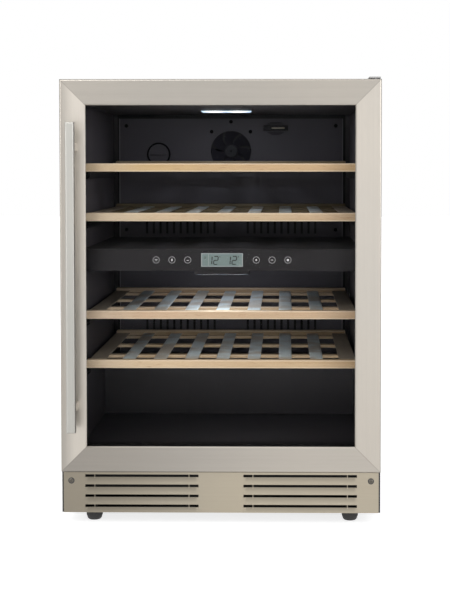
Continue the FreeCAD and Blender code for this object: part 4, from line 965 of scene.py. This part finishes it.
def rearScrews(s):
    grille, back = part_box("rear_grille"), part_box("back_panel")[1].y
    across = s["grilleAcross"]
    spots = [(x, grille[1].y, grille[1].z - s["grilleDown"]) for x in across]
    spots += [(x, grille[1].y, grille[0].z + s["grilleUp"]) for x in (across[0], across[-1])]
    spots += [(side * s["sheetAcross"], back, z) for side in (-1, 1) for z in s["sheetHeights"]]
    spots += [(side * s["sheetTopAcross"], back, s["sheetTop"]) for side in (-1, 1)]
    piece = screws("rearScrews", s["backHead"], s["backProud"], spots, faceBack, 5)
    hand(piece, "cabinet")


frontScrews(fixing)
rearScrews(fixing)
print("screws driven")

# ---- shelves
shelving = {"railDeep": 0.018, "railHigh": 0.016, "backRise": 0.006, "backInset": 0.006,
            "crossShares": (0.17, 0.555, 0.915), "crossWide": 0.022, "crossThick": 0.005,
            "crossHalf": 0.252, "slatThick": 0.0015, "slatWide": 0.025, "slatPitch": 0.060,
            "slatCount": 7, "arris": 0.0022, "flangeNear": 0.223, "webAt": 0.255, "footTip": 0.2595,
            "foldThick": 0.0014, "drop": 0.028, "endRivet": 0.239, "rivetSink": 0.0004}


def woodBars(name, bars, finish):
    # rounded rails and bars, with the rounded edges and the sawn ends marked for the finish
    work = bmesh.new()
    for low, high, soft in bars:
        block(work, low, high, soft, 3)
    work.normal_update()
    limit = 0.985
    mesh = bpy.data.meshes.new(name)
    arris = [0.0 if max(abs(n) for n in face.normal) > limit else 1.0 for face in work.faces]
    ends = [1.0 if abs(face.normal.x) > limit else 0.0 for face in work.faces]
    work.to_mesh(mesh)
    work.free()
    for label, values in (("arris", arris), ("endGrain", ends)):
        layer = mesh.attributes.new(label, "FLOAT", "FACE")
        layer.data.foreach_set("value", values)
    return coated(placed(name, mesh), finish)


def shelfWood(n, s, finish):
    low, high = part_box(f"shelf_{n}_wood")
    top = high.z - s["backRise"]
    railBack, backFront = low.y + s["railDeep"], high.y - s["railDeep"]
    run = backFront - railBack
    bars = [((low.x, low.y, top - s["railHigh"]), (high.x, railBack, top), s["arris"]),
            ((low.x + s["backInset"], backFront, high.z - s["railHigh"]),
             (high.x - s["backInset"], high.y, high.z), s["arris"])]
    slatLow = top - s["slatThick"]
    for share in s["crossShares"]:
        middle = railBack + run * share
        bars.append(((-s["crossHalf"], middle - s["crossWide"] / 2, slatLow - s["crossThick"]),
                     (s["crossHalf"], middle + s["crossWide"] / 2, slatLow), 0.0009))
    hand(woodBars(f"shelfWood{n}", bars, finish), f"shelf_{n}", [f"shelf_{n}_wood"], 40)


def slatShape(s, run):
    # rolled strip: arched a touch across, with turned-down hems, its ends let into the rails
    half = s["slatWide"] / 2
    upper = []
    for k in range(13):
        x = -half + 2 * half * k / 12
        edge = max(0.0, abs(x) / half - 0.84) / 0.16
        upper.append((x, -0.0007 * edge ** 2 - 0.00012 * (x / half) ** 2))
    lower = [(x * 0.985, z - 0.00075) for x, z in upper[::-1]]
    return swept("slatShape", upper + lower, run, 1)


def runnerOutlines(s, top):
    # the folded runner and the thin bright cover on its flange, both as x and z
    near, web, tip, t = s["flangeNear"], s["webAt"], s["footTip"], s["foldThick"]
    foot = top - s["drop"]
    runner = [(near + 0.004, top - t), (web - t - 0.0008, top - t - 0.0004), (web - t, top - 0.0026),
              (web - t, foot + 0.0025), (web - t + 0.0002, foot + 0.0006), (web - 0.0002, foot),
              (tip, foot), (tip, foot + t), (web + 0.0004, foot + t), (web, foot + 0.0025),
              (web, top - 0.0016), (web - 0.0004, top - 0.0008), (near + 0.004, top - 0.0008)]
    cover = [(near, top - 0.0010), (near, top - 0.0004), (near + 0.0005, top), (web - 0.002, top),
             (web - 0.0006, top - 0.0004), (web - 0.0006, top - 0.0009), (near + 0.001, top - 0.0010)]
    return runner, cover


def shelfMetal(n, s):
    low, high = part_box(f"shelf_{n}_metalwork")
    run = high.y - low.y
    columns = [s["slatPitch"] * (k - s["slatCount"] // 2) for k in range(s["slatCount"])]
    slats = row(f"slats{n}", slatShape(s, run), s["slatCount"], (columns[0], low.y, high.z),
                (s["slatPitch"], 0.0, 0.0), slatSteel)
    runner, cover = runnerOutlines(s, high.z)
    runners, covers = [], []
    for side in (-1, 1):
        runners.append(swept(f"runner{n}", [(x * side, z) for x, z in runner], run, 1, low.y))
        covers.append(swept(f"cover{n}", [(x * side, z) for x, z in cover], run, 1, low.y))
    columns += [-s["endRivet"], s["endRivet"]]
    seat = high.z - s["rivetSink"]
    rivets = [(x, low.y + run * share, seat) for share in s["crossShares"] for x in columns]
    button = turned("rivet", [(0.0, 0.0004), (0.0012, 0.0004), (0.0021, 0.00018), (0.0024, -0.0002),
                              (0.0, -0.0003)], (0, 0, 0), steps=12)
    studs = atSpots("rivets", button, rivets, (0.0, 0.0, 0.0), 2, slatSteel)
    for name, things, finish in ((f"shelfMetal{n}", [slats, studs], slatSteel),
                                 (f"shelfFlange{n}", covers, flangeSteel),
                                 (f"shelfRunner{n}", runners, blackSteel)):
        piece = coated(together(name, things), finish)
        hand(piece, f"shelf_{n}", [f"shelf_{n}_metalwork"])


for n in range(1, 5):
    shelfWood(n, shelving, woods[n - 1])
    shelfMetal(n, shelving)
print("shelves laid")

# ---- door: the magnetic seal with its bellows and the bar between the panes, mitred at the corners
sealing = {"wide": 0.018, "bar": 0.0034, "groove": 0.0012, "lip": 0.0005, "clear": 0.0002}


def mitredRing(name, outline, low, high):
    # an outline of distances in from the edge and back from the front, run round a frame
    corners = [(low.x, low.z, 1, 1), (high.x, low.z, -1, 1), (high.x, high.z, -1, -1),
               (low.x, high.z, 1, -1)]
    verts, faces = [], []
    for x, z, inX, inZ in corners:
        for across, depth in outline:
            verts.append((x + inX * across, low.y + depth, z + inZ * across))
    count = len(outline)
    for k in range(4):
        after = (k + 1) % 4
        for j in range(count):
            beside = (j + 1) % count
            faces.append((k * count + j, k * count + beside, after * count + beside, after * count + j))
    return outward(placed(name, meshOf(name, verts, faces)))


def glassSpacer(s):
    # a hollow bar between the panes, its inner face grooved for the drying beads
    low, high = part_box("glass_spacer")
    wide, groove, lip = s["bar"], s["groove"], s["lip"]
    near, far = s["clear"], high.y - low.y - s["clear"]
    middle = (near + far) / 2
    outline = [(0.0, near), (wide - lip, near), (wide, near + lip), (wide, middle - groove),
               (wide - groove / 2, middle - groove / 2), (wide - groove / 2, middle + groove / 2),
               (wide, middle + groove), (wide, far - lip), (wide - lip, far), (0.0, far)]
    bar = coated(mitredRing("glassSpacer", outline, low, high), spacerMetal)
    hand(bar, "door", ["glass_spacer"], 12)


def doorSeal(s):
    low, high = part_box("door_gasket")
    deep, wide = high.y - low.y, s["wide"]
    outline = [(0.0, 0.0), (0.06, 0.0), (0.11, 0.22), (0.15, 0.0), (0.85, 0.0), (0.89, 0.22), (0.94, 0.0),
               (1.0, 0.0), (1.0, 0.18), (0.93, 0.34), (1.0, 0.52), (0.94, 0.72), (0.97, 0.9), (0.9, 1.0),
               (0.62, 1.0), (0.56, 0.9), (0.5, 1.0), (0.14, 1.0), (0.04, 0.9), (0.0, 0.7), (0.07, 0.5),
               (0.0, 0.3)]
    seal = mitredRing("doorSeal", [(across * wide, deep * depth) for across, depth in outline], low, high)
    hand(coated(seal, rubber), "door", ["door_gasket"], 60)


doorSeal(sealing)
glassSpacer(sealing)
print("door sealed")

# ---- lamps: a tray with a ribbed diffuser
lighting = {"half": 0.052, "long": 0.030, "upperDeep": 0.005, "lowerDeep": 0.008, "ribs": 40,
            "wall": 0.0014, "lensDeep": 0.0028, "upperLens": 0.0033, "shown": 0.0010}


def lampLens(name, low, high, s):
    pitch = (high[0] - low[0] - 0.003) / s["ribs"]
    tray = blocks("tray", [((low[0], low[1], low[2] + 0.0012), high, 0.0006, 2)])
    half = pitch / 2
    outline = [(-half, 0.0016), (-half, 0.0005), (-half * 0.5, 0.0001), (0.0, 0.0),
               (half * 0.5, 0.0001), (half, 0.0005), (half, 0.0016)]
    rib = swept("rib", outline, high[1] - low[1] - 0.002, 1, 0.001)
    ribs = row("ribs", rib, s["ribs"], (low[0] + 0.0015 + half, low[1], low[2]), (pitch, 0.0, 0.0), lampGlow)
    return together(name, [tray, ribs])


def lamps(s):
    low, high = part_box("lamps")
    half, wall = s["half"], s["wall"]
    upperFront, upperLow = high.y - s["long"], high.z - s["upperDeep"]
    upper = lampLens("upperLens", (-half + wall, upperFront + wall, upperLow),
                     (half - wall, high.y - wall, upperLow + s["upperLens"]), s)
    lower = lampLens("lowerLens", (-half + wall, low.y + wall, low.z + 0.0006),
                     (half - wall, low.y + s["long"] - wall, low.z + s["lensDeep"]), s)
    hand(coated(together("lampLenses", [upper, lower]), lampGlow), "cabinet", ["lamps"])
    bars = []
    for y, bottom, top in ((upperFront, upperLow + s["upperLens"] * 0.9, high.z),
                           (low.y, low.z + s["shown"], low.z + s["lowerDeep"])):
        far, mid = y + s["long"], top - 0.0015
        bars += [((-half, y, bottom), (half, y + wall, top), 0.0004, 1),
                 ((-half, far - wall, bottom), (half, far, top), 0.0004, 1),
                 ((-half, y + wall * 0.6, bottom), (-half + wall, far - wall * 0.6, top), 0.0004, 1),
                 ((half - wall, y + wall * 0.6, bottom), (half, far - wall * 0.6, top), 0.0004, 1),
                 ((-half + 0.001, y + 0.001, mid), (half - 0.001, far - 0.001, top), 0.0003, 1)]
    hand(coated(blocks("lampTrays", bars), fasciaPlastic), "cabinet", ["lamps"])


lamps(lighting)
print("lamps fitted")

# ---- control panel: display rim, digits and key marks
controls = {"rim": 0.0016, "rimProud": 0.0003, "divider": (0.655, 0.635),
            "digitHigh": 0.0150, "digitWide": 0.0078, "stroke": 0.0021, "lean": 0.09, "digitDrop": 0.0008,
            "digitProud": 0.0002, "figures": ((-0.0270, "1"), (-0.0155, "2"), (0.0080, "1"), (0.0195, "2")),
            "degrees": (-0.0040, 0.0310), "degreeUp": 0.0060, "degree": 0.0011,
            "signs": ((0.0055, -0.0340, -0.0300, 0.0012), (0.0030, -0.0340, -0.0310, 0.0010)),
            "keyNear": 0.065, "keyPitch": 0.030, "ink": 0.00018, "bar": (0.0032, 0.0008),
            "dashes": ((-1, -0.0008, 0.0024, 0.0009), (2, 0.0, 0.0024, 0.0009),
                       (-3, 0.0008, 0.0030, 0.0009), (-3, -0.0015, 0.0016, 0.0008)),
            "dots": ((-2, 0.0016), (1, 0.0016), (3, 0.0022))}


def flat(name, outlines, back, front, finish):
    # thin raised shapes on the control panel, from outlines in x and z
    verts, faces = [], []
    for outline in outlines:
        start, count = len(verts), len(outline)
        for y in (back, front):
            verts += [(x, y, z) for x, z in outline]
        faces.append(tuple(start + k for k in range(count)))
        faces.append(tuple(start + count + k for k in range(count - 1, -1, -1)))
        for k in range(count):
            after = (k + 1) % count
            faces.append((start + k, start + after, start + count + after, start + count + k))
    return coated(outward(placed(name, meshOf(name, verts, faces))), finish)


def stroke(ax, az, bx, bz, wide):
    # a lozenge-ended stroke between two points
    along = Vector((bx - ax, bz - az)).normalized()
    aside = Vector((-along.y, along.x)) * wide / 2
    a, b = Vector((ax, az)), Vector((bx, bz))
    tip = along * wide / 2
    return [tuple(p) for p in (a, a + tip + aside, b - tip + aside, b, b - tip - aside, a + tip - aside)]


def dot(x, z, radius, sides):
    # the outline of a round mark
    angles = [2 * math.pi * k / sides for k in range(sides)]
    return [(x + radius * math.cos(a), z + radius * math.sin(a)) for a in angles]


def displayRim(s):
    # a thin silver frame, and the bar that parts the signs from the figures
    low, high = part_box("display_module")
    middle, rim = (low.z + high.z) / 2, s["rim"]
    halfX, halfZ = (high.x - low.x) / 2, (high.z - low.z) / 2
    corners = [(-1, -1), (1, -1), (1, 1), (-1, 1)]
    frames = []
    for (ax, az), (bx, bz) in zip(corners, corners[1:] + corners[:1]):
        frames.append([(ax * halfX, middle + az * halfZ), (bx * halfX, middle + bz * halfZ),
                       (bx * (halfX - rim), middle + bz * (halfZ - rim)),
                       (ax * (halfX - rim), middle + az * (halfZ - rim))])
    left, right = [-halfX * share for share in s["divider"]]
    bottom, top = middle - halfZ + rim, middle + halfZ - rim
    frames.append([(left, bottom), (right, bottom), (right, top), (left, top)])
    hand(flat("displayRim", frames, low.y, low.y - s["rimProud"], rimSilver), "cabinet")


def displayDigits(s):
    # two readings of two figures each, made of leaning bars, with a dot after each and two small signs
    low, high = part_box("display_module")
    middleX, middleZ = (low.x + high.x) / 2, (low.z + high.z) / 2
    tall, wide = s["digitHigh"], s["digitWide"]
    bars = {"a": ((0, 1), (1, 1)), "b": ((1, 1), (1, 0.5)), "c": ((1, 0.5), (1, 0)), "d": ((0, 0), (1, 0)),
            "e": ((0, 0.5), (0, 0)), "g": ((0, 0.5), (1, 0.5))}
    lit = {"1": "bc", "2": "abged"}
    outlines = []
    for start, figure in s["figures"]:
        for key in lit[figure]:
            ends = []
            for u, v in bars[key]:
                x = middleX + start + u * wide + (v - 0.5) * tall * s["lean"]
                ends.append((x, middleZ - s["digitDrop"] + (v - 0.5) * tall))
            outlines.append(stroke(*ends[0], *ends[1], s["stroke"]))
    outlines += [dot(x, middleZ + s["degreeUp"], s["degree"], 6) for x in s["degrees"]]
    for up, start, end, thick in s["signs"]:
        outlines.append(stroke(start, middleZ + up, end, middleZ + up, thick))
    digits = flat("displayDigits", outlines, low.y, low.y - s["digitProud"], digitInk)
    hand(digits, "cabinet")


def keyMarks(s):
    # keys are numbered out from the middle, those on the left below zero
    low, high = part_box("touch_keys")
    centre = (low.z + high.z) / 2
    across = {}
    for k in range(1, 4):
        across[k] = s["keyNear"] + s["keyPitch"] * (k - 1)
        across[-k] = -across[k]
    keys = [stroke(across[k] - half, centre + up, across[k] + half, centre + up, thick)
            for k, up, half, thick in s["dashes"]]
    keys += [dot(across[k], centre, radius, 12) for k, radius in s["dots"]]
    half, thick = s["bar"]
    keys.append(stroke(across[-2], centre - half, across[-2], centre + half, thick))
    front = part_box("control_fascia")[0].y
    hand(flat("keyMarks", keys, front, front - s["ink"], keyInk), "cabinet")


displayRim(controls)
displayDigits(controls)
keyMarks(controls)
print("controls marked")

# ---- fans
fan = {"hub": 0.0155, "tip": 0.0438, "deep": 0.0110, "bore": 0.0022, "blades": 7, "thick": 0.0011,
       "rootPitch": 58, "tipPitch": 68, "rootChord": 0.0140, "tipChord": 0.0340, "sweep": 0.32}


def bladeShape(s):
    # a twisted, swept blade along X, its chord turned from the axis Z by the pitch
    stations, slices = 7, 7
    limit = s["deep"] / 2 - 0.0007
    verts = []
    for k in range(stations):
        t = k / (stations - 1)
        radius = s["hub"] - 0.001 + (s["tip"] - s["hub"] + 0.0006) * t
        pitch = math.radians(s["rootPitch"] + (s["tipPitch"] - s["rootPitch"]) * t)
        chord = s["rootChord"] + (s["tipChord"] - s["rootChord"]) * t
        for j in range(slices):
            u = j / (slices - 1) - 0.5
            camber = 0.0014 * (1 - 4 * u * u)
            around = (u * chord * math.sin(pitch) + camber * math.cos(pitch)) / radius + s["sweep"] * t * t
            height = u * chord * math.cos(pitch) * 0.86 - camber * math.sin(pitch) * 0.6
            height = max(-limit, min(limit, height)) + s["deep"] / 2
            verts.append((radius * math.cos(around), radius * math.sin(around), height))
    blade = placed("blade", meshOf("blade", verts, gridFaces(stations, slices)))
    walled(blade, s["thick"], 0.0)
    return settled(blade)


def impeller(name, node, axis, body, s):
    low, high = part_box(node)
    centre = (low + high) / 2
    if axis == "x":
        start, turn, along = Vector((low.x, centre.y, centre.z)), (0.0, math.pi / 2, 0.0), (1, 0, 0)
    else:
        start, turn, along = Vector((0.0, low.y, 0.0)), (-math.pi / 2, 0.0, 0.0), (0, 1, 0)
        start.z = round((low.z + high.z) / 2, 4)
    blades = wheel(name, bladeShape(s), s["blades"], start, turn, bladePlastic)
    hub, deep, bore = s["hub"], s["deep"], s["bore"]
    outline = [(bore, 0.0), (hub - 0.0035, 0.0), (hub - 0.0018, 0.0004), (hub - 0.0005, 0.0015),
               (hub, 0.003), (hub, deep), (hub - 0.0015, deep), (hub - 0.0015, 0.003), (bore, 0.0022),
               (bore, 0.0)]
    boss = turned("hub", outline, start, along, 40)
    ring = turned("hubRing", [(0.0085, 0.0), (0.0092, -0.00005), (0.0099, 0.0), (0.0099, 0.0006),
                              (0.0085, 0.0006), (0.0085, 0.0)], start, along, 40)
    hand(coated(blades, bladePlastic), body, [node])
    piece = coated(together(name + "Hub", [boss, ring]), hubPlastic)
    hand(piece, body, [node])


impeller("upperImpeller", "upper_fan_impeller", "y", "upper_fan", fan)
impeller("lowerImpeller", "lower_fan_impeller", "y", "lower_fan", fan)
impeller("condenserImpeller", "condenser_fan_impeller", "x", "condenser_fan", fan)
print("fans bladed")

# ---- feet
footing = {"radius": 0.0155, "potHigh": 0.0237, "grips": 30, "stud": 0.005, "threads": 11}


def foot(node, s):
    low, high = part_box(node)
    x, y = (low.x + high.x) / 2, (low.y + high.y) / 2
    r, top = s["radius"], s["potHigh"]
    outline = [(0.0, 0.0), (0.0085, 0.0), (0.0112, 0.0007), (0.0128, 0.0022), (0.0140, 0.0048),
               (0.0147, 0.0080), (0.0150, 0.0120), (0.0150, 0.0178), (r, 0.0190), (r, 0.0222),
               (r - 0.0008, 0.0233), (r - 0.0022, top), (s["stud"], top)]
    pitch = (high.z - top) / s["threads"]
    for k in range(s["threads"]):
        outline += [(s["stud"], top + pitch * (k + 0.15)), (s["stud"] - 0.0005, top + pitch * (k + 0.6))]
    outline += [(s["stud"] - 0.0006, high.z - 0.0004), (s["stud"] - 0.0012, high.z), (0.0, high.z)]
    pot = turned("pot", outline, (x, y, 0.0))
    grip = swept("grip", [(-0.0005, 0.0144), (-0.0005, 0.0150), (0.0, 0.0154), (0.0005, 0.0150),
                          (0.0005, 0.0144)], 0.0098, 2, 0.0085)
    for vert in grip.data.vertices:
        vert.co = (vert.co.y, vert.co.x, vert.co.z)
    grips = wheel("grips", outward(grip), s["grips"], (x, y, 0.0), (0.0, 0.0, 0.0), footRubber)
    parts = node.split("_")
    name = parts[0] + "".join(part.capitalize() for part in parts[1:])
    piece = coated(together(name + "Turned", [pot, grips]), footRubber)
    hand(piece, node, [node])


for node in ("foot_front_left", "foot_front_right", "foot_back_left", "foot_back_right"):
    foot(node, footing)
print("feet turned")

# ---- filter cap: a dished disc with a finger grip
cap = {"radius": 0.026, "face": 0.005, "plug": 0.0215, "sunk": 0.004, "grip": (0.018, 0.0066, 0.0024)}


def filterCap(s):
    low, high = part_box("filter_cap")
    x, z = (low.x + high.x) / 2, (low.z + high.z) / 2
    r, back = s["radius"], high.y - low.y
    start, inner = s["sunk"], s["sunk"] + s["face"]
    outline = [(0.0, start + 0.0016), (0.014, start + 0.0012), (0.0185, start + 0.0004), (r - 0.0040, start),
               (r - 0.0031, start + 0.0006), (r - 0.0031, inner), (s["plug"], inner),
               (s["plug"] - 0.0005, back - 0.0006), (s["plug"] - 0.0012, back), (0.0, back)]
    disc = turned("disc", outline, (x, low.y, z), (0, 1, 0), 56)
    half, proud, thick = s["grip"]
    grip = blocks("grip", [((x - half, low.y, z - thick), (x + half, low.y + proud, z + thick), 0.0014, 3)])
    piece = coated(together("filterCapTurned", [disc, grip]), panelPlastic)
    hand(piece, "filter_cap", ["filter_cap"])
    edge = [(r - 0.0036, start - 0.0004), (r - 0.0008, start - 0.0002), (r, start + 0.0012), (r, inner),
            (r - 0.0036, inner), (r - 0.0036, start - 0.0004)]
    rim = turned("filterRim", edge, (x, low.y, z), (0, 1, 0), 56)
    hand(coated(rim, shadowPlastic), "filter_cap", ["filter_cap"])


filterCap(cap)
print("filter cap made")

# ---- temperature probes: a ribbed clip, with a steel bulb lying across it
probing = {"high": 0.012, "ribs": 13, "bulbFrom": 0.018, "bulbTo": 0.047, "bulb": 0.0019, "base": 0.0025,
           "front": 0.0015, "rim": 0.0014, "ribOut": 0.0040, "ribHalf": 0.0012, "bulbDeep": 0.0030,
           "slitDeep": 0.0072, "slitHalf": 0.0005,
           "slits": ((0.0118, 0.013), (0.0090, 0.018), (-0.0090, 0.018), (-0.0118, 0.015), (-0.0146, 0.010))}


def probes(s):
    low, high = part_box("temperature_probes")
    x, half = (low.x + high.x) / 2, s["high"] / 2
    front, back = low.y + s["front"], high.y - s["base"]
    pitch = (high.x - low.x - 0.004) / (s["ribs"] - 1)
    r, start, far = s["bulb"], s["bulbFrom"], s["bulbTo"]
    bases, bulbs = [], []
    for middle in (high.z - half, low.z + half):
        bottom, top = middle - half, middle + half
        bases.append(blocks("base", [
            ((low.x, back, bottom), (high.x, high.y, top), 0.0008, 1),
            ((low.x, front, bottom), (high.x, back + 0.0002, bottom + s["rim"]), 0.0005, 1),
            ((low.x, front, top - s["rim"]), (high.x, back + 0.0002, top), 0.0005, 1)]))
        rib = blocks("rib", [
            ((-0.0007, 0.003, side * s["ribOut"] - s["ribHalf"]),
             (0.0007, 0.0056, side * s["ribOut"] + s["ribHalf"]), 0.0003, 1) for side in (-1, 1)])
        bases.append(row("ribs", rib, s["ribs"], (low.x + 0.002, low.y, middle), (pitch, 0.0, 0.0),
                         fanPlastic))
        outline = [(0.0, start), (r * 0.7, start), (r, start + 0.0008), (r, far - 0.003),
                   (r * 0.8, far - 0.001), (r * 0.4, far), (0.0, far)]
        bulbs.append(turned("bulb", outline, (low.x, low.y + s["bulbDeep"], middle), (1, 0, 0), 24))
    clips = coated(together("probeClips", bases), fanPlastic)
    hand(clips, "cabinet", ["temperature_probes"])
    slits = []
    for z, wide in s["slits"]:
        level = high.z - half + z
        slits.append(((x - wide, low.y + s["slitDeep"], level - s["slitHalf"]),
                      (x + wide, high.y + 0.0002, level + s["slitHalf"]), 0.0002, 1))
    hand(coated(blocks("probeSlits", slits), shadowPlastic), "cabinet")
    bars = coated(together("probeBulbs", bulbs), slatSteel)
    hand(bars, "cabinet", ["temperature_probes"])


probes(probing)
print("probes fitted")

# ---- finishes for the CAD nodes that stay
finishes = {
    blackSteel: ["side_panel_left", "side_panel_right", "top_panel"],
    zinc: ["back_panel", "rear_grille"],
    stileSteel: ["door_stile_left", "door_stile_right"],
    railSteel: ["door_rail_top"],
    sillSteel: ["door_rail_bottom"],
    # painted shade: the base pan and front crossbar take the near-black plate paint, so the plinth's slits
    # read dark
    coldPaint: ["evaporator_plates", "base_pan", "front_crossbar"],
    shadowPlastic: ["circulation_fan_housings"],
    handleSteel: ["handle_bar"],
    postSteel: ["handle_posts"],
    hingeSteel: ["hinge_brackets"],
    glass: ["glass_panes"],
    rubber: ["compressor_mounts"],
    foam: ["foam_insulation"],
    foamBlack: ["zone_divider"],
    linerPlastic: ["inner_liner"],
    railPlastic: ["slide_rails", "condenser_fan_housing", "mains_box", "hinge_bushes", "drain_tray",
                  "drain_tube", "cable_gland", "wall_spacers"],
    airPanelPlastic: ["upper_air_panel", "lower_air_panel"],
    fasciaPlastic: ["control_fascia"],
    screen: ["display_module"],
    board: ["control_board"],
    keyRing: ["touch_keys"],
    aluminium: ["condenser_coil"],
    copper: ["refrigerant_lines"],
    compressorPaint: ["compressor"],
}
for finish, nodes in finishes.items():
    for node in nodes:
        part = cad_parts[node]
        if not part.material_slots:
            part.data.materials.append(finish)
        for slot in part.material_slots:
            slot.material = finish
print("CAD nodes finished:", sum(len(nodes) for nodes in finishes.values()))
